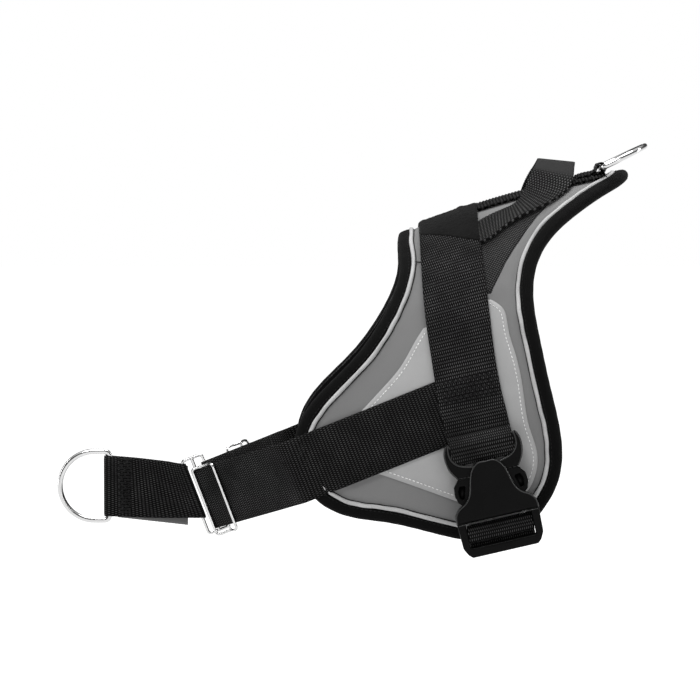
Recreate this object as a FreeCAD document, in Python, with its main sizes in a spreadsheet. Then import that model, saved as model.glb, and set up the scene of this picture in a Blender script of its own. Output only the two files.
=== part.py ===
"""Padded dog harness: saddle, webbing, buckles, slides and leash rings.

Frame: +X towards the tail, -X towards the chest, +Z up, the near side is -Y.
Origin: on the inner face of the lining, at the top of the back, under the
girth strap. Millimetres. The back that the saddle fits is an ellipsoid.
"""
import FreeCAD, Part
import math
import os

os.makedirs("parts", exist_ok=True)
doc = FreeCAD.newDocument("DogHarness")
V = FreeCAD.Vector

SIZES = {
    # back that the saddle lies on: half length, half height, half width
    "back_length": 400.0, "back_height": 172.0, "back_width": 100.0,
    "back_tilt": 17.0, "back_centre_x": 78.0,
    # levels of each layer above the back
    "lining_top": 1.2, "foam_low": 1.25, "foam_top": 5.0, "shell_top": 6.0, "patch_top": 6.7,
    "binding_inner": -0.8, "binding_top": 7.0, "piping_top": 6.95,
    "web_low": 7.2, "web_low_top": 8.8, "web_high": 9.2, "web_high_top": 11.0,
    "velcro_top": 12.2,
    # widths of bands along the edge of the saddle
    "binding_width": 9.5, "piping_width": 3.0, "binding_wall": 1.6,
    # webbing
    "web_width": 50.0, "web_thick": 1.6, "spine_web": 44.0,
    # metal
    "ring_wire": 4.6, "ring_opening": 50.0, "ring_depth": 42.0, "slide_wire": 2.6,
    "slide_pitch": 8.8, "slide_room": 3.1, "triglide_pitch": 14.0, "triglide_half": 28.4,
    # side-release buckle
    "buckle_tilt": 13.0, "buckle_y": -117.0, "buckle_x": 29.7, "buckle_z": -226.9,
    "plate_gap": 3.2, "plate_face": 6.5, "yoke_half": 2.9, "bar_radius": 2.2,
}
sheet = doc.addObject("Spreadsheet::Sheet", "Sizes")
for row, (alias, value) in enumerate(SIZES.items(), start=1):
    sheet.set("A%d" % row, alias)
    sheet.set("B%d" % row, str(value))
    sheet.setAlias("B%d" % row, alias)
doc.recompute()


def size(alias):
    """A driving dimension, read from the sheet."""
    return float(getattr(sheet, alias))


TILT = math.radians(size("back_tilt"))
ALONG = V(math.cos(TILT), 0, math.sin(TILT))
ABOVE = V(-math.sin(TILT), 0, math.cos(TILT))


def back_centre():
    """Centre of the ellipsoid, placed so that the origin lies on its surface."""
    a, b, x = size("back_length"), size("back_height"), -size("back_centre_x")
    low, high = 60.0, 260.0
    for _ in range(60):
        z = (low + high) / 2
        along = x * math.cos(TILT) + z * math.sin(TILT)
        above = -x * math.sin(TILT) + z * math.cos(TILT)
        if (along / a) ** 2 + (above / b) ** 2 > 1:
            high = z
        else:
            low = z
    return V(size("back_centre_x"), 0, -low)


CENTRE = back_centre()


def on_back(x, z, level):
    """Point of the near side at x, z on the surface that lies level above the back."""
    d = V(x, 0, z) - CENTRE
    along = d.dot(ALONG) / (size("back_length") + level)
    above = d.dot(ABOVE) / (size("back_height") + level)
    rest = max(0.0, 1 - along ** 2 - above ** 2)
    return V(x, -(size("back_width") + level) * math.sqrt(rest), z)


# ---------------------------------------------------------------- helpers
def sketch_runs(sketch, runs):
    """Puts the runs into a sketch as lines and interpolated curves."""
    for kind, points in runs:
        points = [V(x, y, 0) for x, y in points]
        if kind == "curve":
            curve = Part.BSplineCurve()
            curve.interpolate(points)
            sketch.addGeometry(curve, False)
        elif kind == "arc":
            sketch.addGeometry(Part.Arc(*points), False)
        elif kind == "circle":
            centre, rim = points
            sketch.addGeometry(Part.Circle(centre, V(0, 0, 1), (rim - centre).Length), False)
        else:
            for p, q in zip(points, points[1:]):
                sketch.addGeometry(Part.LineSegment(p, q), False)


def bind(obj, **expressions):
    for name, expression in expressions.items():
        obj.setExpression(name, expression)


def level_solid(level):
    """The back grown by one level, made once and shared."""
    name = "Back_" + level
    found = doc.getObject(name)
    if found:
        return found
    obj = doc.addObject("Part::Ellipsoid", name)
    grow = "" if level == "skin" else " + Sizes." + level
    bind(obj, Radius1="Sizes.back_length" + grow, Radius2="Sizes.back_height" + grow,
         Radius3="Sizes.back_width" + grow)
    bind(obj, Angle1="-90", Angle2="90", Angle3="360")
    obj.Placement = FreeCAD.Placement(
        CENTRE, FreeCAD.Rotation(V(0, 1, 0), 90 - size("back_tilt")))
    return obj


def layer(low, high):
    """Shell between two levels of the back."""
    name = "Layer_%s_%s" % (low, high)
    found = doc.getObject(name)
    if found:
        return found
    cut = doc.addObject("Part::Cut", name)
    cut.Base, cut.Tool = level_solid(high), level_solid(low)
    return cut


SIDE_REACH = 160.0


def side_prism(name, runs, near_only=False):
    """A side outline in X and Z, carried across the body along Y."""
    sketch = doc.addObject("Sketcher::SketchObject", name + "_outline")
    sketch.Placement = FreeCAD.Placement(V(0, 0, 0), FreeCAD.Rotation(V(1, 0, 0), 90))
    sketch_runs(sketch, runs)
    prism = doc.addObject("Part::Extrusion", name + "_prism")
    prism.Base = sketch
    prism.DirMode = "Normal"
    prism.Solid = True
    prism.LengthFwd = SIDE_REACH
    prism.LengthRev = 0 if near_only else SIDE_REACH
    return prism


def boolean(kind, name, base, tool):
    obj = doc.addObject("Part::" + kind, name)
    obj.Base, obj.Tool = base, tool
    return obj


NODES = []


def node(obj, name):
    obj.Label = name
    NODES.append(obj)
    return obj


def mirrored(obj, name):
    """The far side's copy of a near piece."""
    copy = doc.addObject("Part::Mirroring", name)
    copy.Source = obj
    copy.Normal = V(0, 1, 0)
    return node(copy, name)


def made(name, shape):
    """A piece whose shape no single feature gives."""
    obj = doc.addObject("Part::Feature", name)
    obj.Shape = shape
    return obj


# ---------------------------------------------------------------- saddle
# side outline: neck edge down to the front lobe, belly edge, up the rear edge to the tail tip
EDGE = [(-29, 60), (-30, 20), (-38, 3), (-45, -12), (-45, -36), (-50, -57), (-60, -77),
        (-78, -103), (-104, -130), (-122, -153), (-128, -172), (-125, -194), (-112, -216),
        (-92, -228), (-58, -234), (-22, -242), (12, -249), (40, -247), (64, -226),
        (77, -202), (80, -180), (77, -156), (69, -121), (61, -82), (58, -50), (63, -28),
        (75, -9), (95, 9), (120, 26), (136, 37), (143, 48), (145, 62)]


def inset(distance):
    """The saddle's edge moved inwards by a distance, as points of the same curve."""
    curve = Part.BSplineCurve()
    curve.interpolate([V(x, z, 0) for x, z in EDGE])
    moved = []
    for x, z in EDGE:
        tangent = curve.tangent(curve.parameter(V(x, z, 0)))[0]
        moved.append((x - tangent.y * distance, z + tangent.x * distance))
    return moved


def edge_runs(distance):
    points = inset(distance) if distance else EDGE
    return [("curve", points), ("line", [points[-1], (points[-1][0], 90), (points[0][0], 90),
                                         points[0]])]


binding_width = size("binding_width")
wall = size("binding_wall")
outline_prism = side_prism("Saddle", edge_runs(0))
core_prism = side_prism("Core", edge_runs(wall))
inner_prism = side_prism("Binding_inner", edge_runs(binding_width))
piping_outer = side_prism("Piping_outer", edge_runs(binding_width + 0.1))
piping_inner = side_prism("Piping_inner", edge_runs(binding_width + 0.1 + size("piping_width")))

node(boolean("Common", "Lining", layer("skin", "lining_top"), core_prism), "lining")
node(boolean("Common", "Foam", layer("foam_low", "foam_top"), core_prism), "foam_pad")
node(boolean("Common", "Shell", layer("foam_top", "shell_top"), core_prism), "outer_shell")

band = boolean("Cut", "Binding_band", outline_prism, inner_prism)
tape = boolean("Common", "Binding_tape", layer("binding_inner", "binding_top"), band)
fill = boolean("Common", "Binding_fill", layer("skin", "shell_top"), core_prism)
node(boolean("Cut", "Binding", tape, fill), "edge_binding")

cord_band = boolean("Cut", "Piping_band", piping_outer, piping_inner)
node(boolean("Common", "Piping", layer("shell_top", "piping_top"), cord_band), "reflective_piping")

# light panels on each flank, a shield shape that runs under both straps
PATCH = [("curve", [(-27, -84), (-33, -93), (-44, -112), (-60, -131), (-74, -146), (-84, -160),
                    (-84, -174), (-76, -190), (-60, -197)]),
         ("curve", [(-60, -197), (-42, -203), (-8, -215), (30, -222), (50, -213), (60, -195),
                    (61, -180), (55, -160), (50, -130), (44, -102), (39, -84), (35, -68),
                    (25, -61)]),
         ("line", [(25, -61), (-27, -84)])]
patch_prism = side_prism("Flank_patch", PATCH, near_only=True)
near_patch = node(boolean("Common", "Near_patch", layer("shell_top", "patch_top"), patch_prism),
                  "near_flank_patch")
mirrored(near_patch, "far_flank_patch")

BACK_PANEL = [("line", [(0, 70), (3, -60), (26, -57)]),
              ("curve", [(26, -57), (38, -33), (45, -22), (58, -4), (73, 12), (84, 21),
                         (104, 36)]),
              ("line", [(104, 36), (108, 70), (0, 70)])]
node(boolean("Common", "Back_panel", layer("shell_top", "patch_top"),
             side_prism("Back_panel", BACK_PANEL)), "back_panel")

# ---------------------------------------------------------------- webbing on the saddle
GIRTH_FRONT = [(-29, 30), (-28, -1), (-25, -75), (-20, -112), (-13, -153), (-11, -161)]
GIRTH_REAR = [(38, -151), (35, -139), (28, -102), (24, -65), (20, -28), (18, 0), (18, 30)]
GIRTH = [("curve", GIRTH_FRONT), ("line", [GIRTH_FRONT[-1], GIRTH_REAR[0]]),
         ("curve", GIRTH_REAR), ("line", [GIRTH_REAR[-1], GIRTH_FRONT[0]])]
girth_prism = side_prism("Girth", GIRTH)
girth_run = boolean("Common", "Girth_run", layer("web_high", "web_high_top"), girth_prism)

VELCRO = [("line", [(-27.5, 30), (-26.5, -31), (18.5, -24), (17, 30), (-27.5, 30)])]
node(boolean("Common", "Velcro", layer("web_high_top", "velcro_top"),
             side_prism("Velcro", VELCRO)), "hook_loop_patch")


def top_box(name, x_low, x_high, width):
    """A box over the spine, for webbing that runs along it."""
    box = doc.addObject("Part::Box", name)
    box.Length, box.Height = x_high - x_low, 120
    bind(box, Width=width)
    box.Placement = FreeCAD.Placement(V(x_low, 0, -30), FreeCAD.Rotation())
    bind(box, **{".Placement.Base.y": "-(%s) / 2" % width})
    return box


node(boolean("Common", "Spine_web", layer("web_low", "web_low_top"),
             top_box("Spine_box", 5, 99, "Sizes.spine_web")), "spine_webbing")

# buckle frame: x across the web, y up the web, z outwards
BUCKLE = FreeCAD.Placement(
    V(size("buckle_x"), size("buckle_y"), size("buckle_z")),
    FreeCAD.Rotation(V(0, 1, 0), -size("buckle_tilt")) * FreeCAD.Rotation(V(1, 0, 0), 90))


def thickened(points, thick):
    """Closed outline of a band of this thickness whose centre follows the points."""
    left, right = [], []
    for i, p in enumerate(points):
        before = (p - points[i - 1]).normalize() if i else None
        after = (points[i + 1] - p).normalize() if i + 1 < len(points) else None
        run_in, run_out = before or after, after or before
        normal_in, normal_out = V(-run_in.y, run_in.x, 0), V(-run_out.y, run_out.x, 0)
        mitre = (normal_in + normal_out).normalize()
        reach = thick / 2 / mitre.dot(normal_in)
        left.append(p + mitre * reach)
        right.append(p - mitre * reach)
    return left + right[::-1] + [left[0]]


def band_shape(points, width, frame=None):
    """Flat web: its profile is in local Z and Y, and it is carried along local X."""
    outline = thickened([V(z, y, 0) for z, y in points], size("web_thick"))
    face = Part.Face(Part.makePolygon([V(-width / 2, p.y, p.x) for p in outline]))
    solid = face.extrude(V(width, 0, 0))
    if frame:
        solid.Placement = frame
    return solid


WEB = size("web_width")
THICK = size("web_thick")

# the girth strap's end comes down in front of the buckle's bar and folds up behind it
FOLD = [(-6.4, 77), (-6.2, 69), (-1.5, 62.5), (3.1, 57.5), (3.1, 54), (1.7, 52.1), (0, 51.4),
        (-1.7, 52.1), (-3.1, 54), (-3.6, 60)]
fold = made("Girth_fold", band_shape(FOLD, WEB, BUCKLE))
far_fold = doc.addObject("Part::Mirroring", "Girth_fold_far")
far_fold.Source, far_fold.Normal = fold, V(0, 1, 0)
girth = doc.addObject("Part::MultiFuse", "Girth")
girth.Shapes = [girth_run, fold, far_fold]
node(girth, "girth_strap")


def ribbon(stations, thick):
    """Web laid through stations; each is a list of (point, outward normal) across it."""
    sections = []
    for station in stations:
        outer = [p + n * (thick / 2) for p, n in station]
        inner = [p - n * (thick / 2) for p, n in reversed(station)]
        sections.append(Part.makePolygon(outer + inner + [outer[0]]))
    return Part.makeLoft(sections, True, True)


def back_normal(point, level):
    """Outward direction of the back at a point."""
    d = point - CENTRE
    along = d.dot(ALONG) / (size("back_length") + level) ** 2
    above = d.dot(ABOVE) / (size("back_height") + level) ** 2
    side = d.y / (size("back_width") + level) ** 2
    return (ALONG * along + ABOVE * above + V(0, side, 0)).normalize()


# ---------------------------------------------------------------- chest straps
FRONT_Z = -213.4
FRONT_DROP = 4.0
SLIDE_TILT = math.radians(21.0)
SLIDE_CENTRE = V(-202.0, 0, -220.0)
NEAR_PLACE, FAR_PLACE = 0, 1
NEAR_SAG = 3.9
SLIDE_UP = V(-math.sin(SLIDE_TILT), 0, math.cos(SLIDE_TILT))
SLIDE_ACROSS = V(math.cos(SLIDE_TILT), 0, math.sin(SLIDE_TILT))
PITCH = size("slide_pitch")
CHEST_START = (9.5, -139.8)
CHEST_SLOPE = math.radians(22.1)
CHEST_ON_BODY = 151.0
WRAP = size("slide_wire") / 2 + 0.15 + THICK / 2
TAIL_LENGTH = 84.0
chest_level = (size("web_low") + size("web_low_top")) / 2
chest_dir = (-math.cos(CHEST_SLOPE), -math.sin(CHEST_SLOPE))
chest_up = (-math.sin(CHEST_SLOPE), math.cos(CHEST_SLOPE))


def chest_on_body(run):
    """Station of the near chest strap on the flank, this far from its sewn end."""
    station = []
    for across in (WEB / 2, WEB / 4, 0, -WEB / 4, -WEB / 2):
        x = CHEST_START[0] + chest_dir[0] * run + chest_up[0] * across
        z = CHEST_START[1] + chest_dir[1] * run + chest_up[1] * across
        point = on_back(x, z, chest_level)
        out = back_normal(point, chest_level)
        forward = V(chest_dir[0], 0, chest_dir[1])
        out = (out - forward * out.dot(forward)).normalize()
        station.append((point, out))
    return station


def slide_bar_at(place):
    """Middle of one of the slide's bars: 1 rear, 0 centre, -1 front."""
    return SLIDE_CENTRE + SLIDE_ACROSS * (PITCH * place)


def strap_middle_at(place):
    """Middle of the strap on a bar; the near strap has slipped down its bar."""
    sag = NEAR_SAG if place == NEAR_PLACE else 0
    return slide_bar_at(place) - SLIDE_UP * sag


def chest_line(place):
    """Straight stretch from a slide's bar to the flank: start, direction, width, normal."""
    bar = strap_middle_at(place)
    flank = chest_on_body(CHEST_ON_BODY)[2][0]
    run = (flank - bar).normalize()
    normal = SLIDE_UP.cross(run).normalize()
    if normal.y > 0:
        normal = normal * -1
    run = (flank - normal * WRAP - bar).normalize()
    up = (SLIDE_UP - run * run.dot(SLIDE_UP)).normalize()
    return bar, run, up, normal


def chest_strap(place):
    """Near chest strap: flank, straight stretch, round the slide's bar, free tail."""
    stations = [chest_on_body(run) for run in (0, 20, 40, 60, 80, 100, 120, 138, CHEST_ON_BODY)]
    bar, run, up, normal = chest_line(place)

    def across(centre, width_dir, out):
        return [(centre + width_dir * (WEB * share), out) for share in (0.5, 0.25, 0, -0.25, -0.5)]

    length = (chest_on_body(CHEST_ON_BODY)[2][0] - bar).Length
    for reach in (length - 12, length * 0.5, 1.5):
        stations.append(across(bar + run * reach + normal * WRAP, up, normal))
    forward = normal.cross(SLIDE_UP)
    if forward.x > 0:
        forward = forward * -1
    for step in range(1, 6):
        turn = math.pi * step / 6
        out = normal * math.cos(turn) + forward * math.sin(turn)
        stations.append(across(bar + out * WRAP, SLIDE_UP, out))
    for reach in (1.5, TAIL_LENGTH):
        stations.append(across(bar + run * reach - normal * WRAP, up, normal * -1))
    return ribbon(stations, THICK)


near_strap = made("Near_chest", chest_strap(NEAR_PLACE))
node(near_strap, "near_chest_strap")
far_strap_source = made("Far_chest_source", chest_strap(FAR_PLACE))
mirrored(far_strap_source, "far_chest_strap")


# ---------------------------------------------------------------- metal
def pipe(path_edges, radius):
    """Round wire along a path."""
    path = Part.Wire(path_edges)
    start = path.Edges[0]
    origin = start.valueAt(start.FirstParameter)
    tangent = start.tangentAt(start.FirstParameter)
    profile = Part.Wire(Part.makeCircle(radius, origin, tangent))
    return path.makePipeShell([profile], True, False, 2)


def rounded_loop(half_x, half_y, corner):
    """Edges of a rounded rectangle in XY, from the middle of its +X side."""
    c = corner
    edges = []
    corners = [(half_x, half_y), (-half_x, half_y), (-half_x, -half_y), (half_x, -half_y)]
    dirs = [(0, 1), (-1, 0), (0, -1), (1, 0)]
    here = V(half_x, 0, 0)
    for (cx, cy), (dx, dy), (ex, ey) in zip(corners, dirs, dirs[1:] + dirs[:1]):
        before = V(cx - dx * c, cy - dy * c, 0)
        after = V(cx + ex * c, cy + ey * c, 0)
        middle = V(cx - dx * c + ex * c, cy - dy * c + ey * c, 0)
        knee = middle + (V(cx, cy, 0) - middle).normalize() * c
        if (before - here).Length > 1e-6:
            edges.append(Part.makeLine(here, before))
        edges.append(Part.Arc(before, knee, after).toShape())
        here = after
    edges.append(Part.makeLine(here, V(half_x, 0, 0)))
    return edges


def d_ring(name, place):
    """D-ring in local XY: its straight bar on the Y axis, its bow towards +X."""
    sketch = doc.addObject("Sketcher::SketchObject", name + "_path")
    half = size("ring_opening") / 2 + size("ring_wire") / 2 + 0.5
    depth = size("ring_depth") - size("ring_wire") / 2
    bend = 4.0
    bow = depth - half
    knee = bend * (1 - math.sqrt(0.5))
    runs = [("line", [(0, 0), (0, half - bend)]),
            ("arc", [V(0, half - bend, 0), V(knee, half - knee, 0), V(bend, half, 0)]),
            ("line", [(bend, half), (bow, half)]),
            ("arc", [V(bow, half, 0), V(depth, 0, 0), V(bow, -half, 0)]),
            ("line", [(bow, -half), (bend, -half)]),
            ("arc", [V(bend, -half, 0), V(knee, knee - half, 0), V(0, bend - half, 0)]),
            ("line", [(0, bend - half), (0, 0)])]
    for kind, points in runs:
        if kind == "arc":
            sketch.addGeometry(Part.Arc(*points), False)
        else:
            sketch.addGeometry(Part.LineSegment(*[V(x, y, 0) for x, y in points]), False)
    circle = doc.addObject("Part::Circle", name + "_section")
    bind(circle, Radius="Sizes.ring_wire / 2")
    circle.Placement = FreeCAD.Placement(V(0, 0, 0), FreeCAD.Rotation(V(1, 0, 0), -90))
    doc.recompute()
    sweep = doc.addObject("Part::Sweep", name)
    sweep.Sections = [circle]
    sweep.Spine = (sketch, [])
    sweep.Solid = True
    sweep.Frenet = False
    sweep.Transition = "Right corner"
    sweep.Placement = place
    return sweep


REAR_RING = V(116.5, 0, 43.3)
REAR_RING_ANGLE = 26.0
FRONT_RING_X = -279.5
node(d_ring("Rear_ring", FreeCAD.Placement(
    REAR_RING, FreeCAD.Rotation(V(0, 1, 0), -REAR_RING_ANGLE))), "rear_leash_ring")
front_turn = FreeCAD.Rotation(V(0, 0, 1), 180) * FreeCAD.Rotation(V(1, 0, 0), 90)
node(d_ring("Front_ring", FreeCAD.Placement(V(FRONT_RING_X, 0, FRONT_Z), front_turn)),
     "front_leash_ring")


def rod(name, start, direction, length, radius):
    obj = doc.addObject("Part::Cylinder", name)
    obj.Height = length
    bind(obj, Radius=radius)
    obj.Placement = FreeCAD.Placement(start, FreeCAD.Rotation(V(0, 0, 1), direction))
    return obj


# three-bar slide that joins the front web and both chest straps
slide_half = WEB / 2 / math.cos(SLIDE_TILT) + size("slide_wire") / 2 + size("slide_room")
slide_loop = made("Slide_loop", pipe(rounded_loop(PITCH, slide_half, 2.6),
                                     size("slide_wire") / 2))
slide_loop.Placement = FreeCAD.Placement(
    SLIDE_CENTRE, FreeCAD.Rotation(V(0, 1, 0), -math.degrees(SLIDE_TILT))
    * FreeCAD.Rotation(V(1, 0, 0), 90))
slide_bar = rod("Slide_bar", SLIDE_CENTRE - SLIDE_UP * slide_half, SLIDE_UP,
                2 * slide_half, "Sizes.slide_wire / 2")
node(boolean("Fuse", "Slide", slide_loop, slide_bar), "front_slide")


def triglide_shape():
    """Slide in local frame: x along the web, y across it, z outwards; web at z = 0.

    Its two side bars lie outside the web and its centre bar inside, so both ends dip.
    """
    wire = size("slide_wire") / 2
    out = THICK / 2 + 0.15 + wire
    low = -(THICK / 2 + 0.15 + wire * 0.85)
    pitch, half = size("triglide_pitch"), size("triglide_half")
    shape = None
    for sign in (1, -1):
        bar = [V(sign * pitch, -half + 3, out), V(sign * pitch, half - 3, out)]
        for end in (1, -1):
            corner = V(sign * pitch, end * (half - 3), out)
            knee = V(sign * (pitch - 1.4), end * (half - 0.6), out)
            dip = V(sign * (pitch * 0.45), end * half, out * 0.3)
            middle = V(0, end * (half - 0.2), low)
            curve = Part.BSplineCurve()
            curve.interpolate([corner, knee, dip, middle],
                              InitialTangent=V(0, end, 0), FinalTangent=V(-sign, 0, -0.4))
            piece = pipe([curve.toShape()], wire * 0.9)
            shape = piece if shape is None else shape.fuse(piece)
            shape = shape.fuse(Part.makeSphere(wire, corner))
        side = Part.makeCylinder(wire, (bar[1] - bar[0]).Length, bar[0], V(0, 1, 0))
        shape = shape.fuse(side)
    centre = Part.makeCylinder(wire * 0.85, 2 * half - 0.4, V(0, -half + 0.2, low), V(0, 1, 0))
    for end in (1, -1):
        shape = shape.fuse(Part.makeSphere(wire, V(0, end * (half - 0.2), low)))
    return shape.fuse(centre)


NEAR_TRIGLIDE_AT = 15.0
FAR_TRIGLIDE_AT = 50.0
TRIGLIDE_DROP = 1.9


def triglide(name, place, reach):
    """Tri-glide on a chest strap, its centre this far from the slide's bar."""
    bar, run, up, normal = chest_line(place)
    obj = made(name, triglide_shape())
    drop = TRIGLIDE_DROP if place == NEAR_PLACE else 0
    centre = bar + run * reach + normal * WRAP - up * drop
    side = normal.cross(run)
    obj.Placement = FreeCAD.Placement(FreeCAD.Matrix(
        run.x, side.x, normal.x, centre.x, run.y, side.y, normal.y, centre.y,
        run.z, side.z, normal.z, centre.z, 0, 0, 0, 1))
    return obj


node(triglide("Near_triglide", NEAR_PLACE, NEAR_TRIGLIDE_AT), "near_triglide")
mirrored(triglide("Far_triglide_source", FAR_PLACE, FAR_TRIGLIDE_AT), "far_triglide")

# ---------------------------------------------------------------- front web
FRONT_BAR = slide_bar_at(-1)


def front_web():
    """Doubled web between the front D-ring's bar and the slide's tilted front bar."""
    eye_ring = size("ring_wire") / 2 + 0.3
    eye_slide = size("slide_wire") / 2 + 0.3
    ring_axis = (V(FRONT_RING_X, 0, FRONT_Z), V(0, 0, 1))
    end_z = FRONT_Z - FRONT_DROP
    slide_axis = (FRONT_BAR + SLIDE_UP * ((end_z - FRONT_BAR.z) / SLIDE_UP.z), SLIDE_UP)
    half = WEB / 2
    lean = half * math.tan(SLIDE_TILT)
    taper, squeeze = 9.0, 6.0
    low_x, high_x = slide_axis[0].x + lean - 1, slide_axis[0].x - lean + 1
    outline = [V(FRONT_RING_X, -THICK, FRONT_Z - half),
               V(low_x - taper, -THICK, end_z - half),
               V(low_x, -THICK, end_z - half + squeeze),
               V(high_x, -THICK, end_z + half - squeeze),
               V(high_x - taper, -THICK, end_z + half),
               V(FRONT_RING_X, -THICK, FRONT_Z + half)]
    solid = Part.Face(Part.makePolygon(outline + [outline[0]])).extrude(V(0, 2 * THICK, 0))
    reach = 4 * half
    slide_web = WEB - 2 * squeeze
    ring_web = WEB - 3.0
    tubes = [(ring_axis, eye_ring, ring_web), (slide_axis, eye_slide, slide_web)]
    for (middle, axis), eye, height in tubes:
        solid = solid.fuse(Part.makeCylinder(eye + THICK, height, middle - axis * (height / 2),
                                             axis))
    for (middle, axis), eye in ((ring_axis, eye_ring), (slide_axis, eye_slide)):
        solid = solid.cut(Part.makeCylinder(eye, reach, middle - axis * (reach / 2), axis))
    return solid


node(made("Front_web", front_web()), "front_web")
lining_box = doc.addObject("Part::Box", "Front_lining")
lining_box.Length, lining_box.Height = 46, WEB + 3.4
bind(lining_box, Width="Sizes.web_thick / 2")
lining_box.Placement = FreeCAD.Placement(V(-270, THICK + 0.02, FRONT_Z - WEB / 2 - 3.6),
                                         FreeCAD.Rotation())
node(lining_box, "front_web_lining")


# ---------------------------------------------------------------- rear ring's web loop, handle
def rear_loop():
    """Web folded round the rear ring's bar, both layers going forward over the spine."""
    eye = size("ring_wire") / 2 + 0.3
    half = 17.0
    outer = Part.makeCylinder(eye + THICK, 2 * half, V(REAR_RING.x, -half, REAR_RING.z),
                              V(0, 1, 0))
    reach = 16.0
    tongue = Part.makeBox(reach, 2 * half, 2 * THICK, V(-reach, -half, -eye - THICK))
    tongue.Placement = FreeCAD.Placement(REAR_RING, FreeCAD.Rotation(V(0, 1, 0), -10))
    solid = outer.fuse(tongue)
    return solid.cut(Part.makeCylinder(eye, 2 * half + 2, V(REAR_RING.x, -half - 1, REAR_RING.z),
                                       V(0, 1, 0)))


node(made("Rear_loop", rear_loop()), "rear_ring_loop")


# edges of the handle's web on the near side, front edge and rear edge, foot to top
HANDLE = [((22.6, -41, 3.5), (25.5, -60.5, -12.5)), ((31, -39, 9.5), (38, -58, -5.5)),
          ((44, -35, 17.5), (59, -53, 7)), ((55, -29, 28), (83, -41, 21)),
          ((61, -20, 39), (91, -27, 35)), ((65, -9, 47), (95, -11, 44.5)),
          ((66, 0, 50.3), (96, 0, 47.3))]


def handle_shape():
    near = [(V(*front), V(*rear)) for front, rear in HANDLE]
    far = [(V(f.x, -f.y, f.z), V(r.x, -r.y, r.z)) for f, r in reversed(near[:-1])]
    pairs = near + far
    stations = []
    for i, (front, rear) in enumerate(pairs):
        before, after = pairs[max(i - 1, 0)], pairs[min(i + 1, len(pairs) - 1)]
        run = (after[0] + after[1]) - (before[0] + before[1])
        normal = (rear - front).cross(run).normalize()
        if normal.z < 0:
            normal = normal * -1
        stations.append([(front, normal), ((front + rear) / 2, normal), (rear, normal)])
    return ribbon(stations, THICK)


node(made("Handle", handle_shape()), "grab_handle")


# ---------------------------------------------------------------- side-release buckle
def body_plane(body, role):
    for feature in body.Origin.OriginFeatures:
        if feature.Role == role:
            return feature
    raise RuntimeError("no plane " + role)


def body_at(name, place):
    body = doc.addObject("PartDesign::Body", name)
    body.Placement = place
    return body


def flat_sketch(body, name, runs, height=0.0):
    sketch = body.newObject("Sketcher::SketchObject", name)
    sketch.AttachmentSupport = [(body_plane(body, "XY_Plane"), "")]
    sketch.MapMode = "FlatFace"
    sketch.AttachmentOffset = FreeCAD.Placement(V(0, 0, height), FreeCAD.Rotation())
    sketch_runs(sketch, runs)
    return sketch


def pad(body, name, runs, low, high):
    """Pad between two heights of the body's frame; both are expressions or numbers."""
    sketch = flat_sketch(body, name + "_outline", runs)
    sketch.setExpression(".AttachmentOffset.Base.z", str(low))
    feature = body.newObject("PartDesign::Pad", name)
    feature.Profile = sketch
    feature.setExpression("Length", "(%s) - (%s)" % (high, low))
    body.Tip = feature
    return feature


def pocket(body, name, runs, low, high):
    sketch = flat_sketch(body, name + "_outline", runs)
    sketch.setExpression(".AttachmentOffset.Base.z", str(high))
    feature = body.newObject("PartDesign::Pocket", name)
    feature.Profile = sketch
    feature.setExpression("Length", "(%s) - (%s)" % (high, low))
    body.Tip = feature
    return feature


def both_sides(half):
    """Closed outline from its right half, given from the top to the bottom."""
    return half + [(-x, y) for x, y in reversed(half)]


def loop_of(points):
    return [("line", points + [points[0]])]


def box_runs(x_low, x_high, y_low, y_high):
    return loop_of([(x_low, y_low), (x_high, y_low), (x_high, y_high), (x_low, y_high)])


# right halves, top to bottom, in the buckle's frame
SHIELD = [(7, 44), (11, 40.5), (15.5, 30), (19.5, 18), (24, 13.5), (29, 10.5), (32.3, 6), (33, 0)]
SHOULDER = [(24.8, 14), (29, 10.5), (32.3, 6), (33, 0)]
YOKE = [(25.5, 60), (28, 61.5), (30.5, 56), (31, 50), (29, 41), (24.5, 34)]
WINDOW = [(25.3, 62.5), (25.2, 50), (20, 44.5), (10, 41.4)]

male = body_at("Near_male", BUCKLE)
yoke_runs = loop_of(both_sides([(25.3, 61)] + YOKE[1:]))
pad(male, "Yoke", yoke_runs, "-Sizes.yoke_half", "Sizes.yoke_half")
doc.recompute()
pocket(male, "Window", loop_of(both_sides(WINDOW)), "-Sizes.yoke_half - 1", "Sizes.yoke_half + 1")
pad(male, "Guide", loop_of([(-5, 34.5), (5, 34.5), (4, 12), (-4, 12)]),
    "-Sizes.yoke_half + 0.4", "Sizes.yoke_half - 0.4")
bar_sketch = male.newObject("Sketcher::SketchObject", "Bar_outline")
bar_sketch.AttachmentSupport = [(body_plane(male, "YZ_Plane"), "")]
bar_sketch.MapMode = "FlatFace"
bar_sketch.addGeometry(Part.Circle(V(55, 0, 0), V(0, 0, 1), size("bar_radius")), False)
bar_pad = male.newObject("PartDesign::Pad", "Bar")
bar_pad.Profile = bar_sketch
bar_pad.Length = 56
bar_pad.Midplane = True
male.Tip = bar_pad
node(male, "near_male_buckle")

PRONG = [(12, 33.6), (24, 33.6), (28.5, 28), (29.2, 21), (27.5, 15.5), (24.2, 12.4), (24.2, 7.2),
         (27.8, 7.2), (25.5, 3), (21, 3), (20.5, 12), (14, 28)]
HOLE = [(19.5, 27.5), (24, 28), (25.8, 24), (25.3, 18.5), (22.5, 17)]


def prong(name, sign):
    body = body_at(name, BUCKLE)
    points = [(sign * x, y) for x, y in PRONG]
    pad(body, name + "_arm", loop_of(points), "-Sizes.yoke_half + 0.2", "Sizes.yoke_half - 0.2")
    doc.recompute()
    pocket(body, name + "_hole", loop_of([(sign * x, y) for x, y in HOLE]),
           "-Sizes.yoke_half - 1", "Sizes.yoke_half + 1")
    return body


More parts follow.
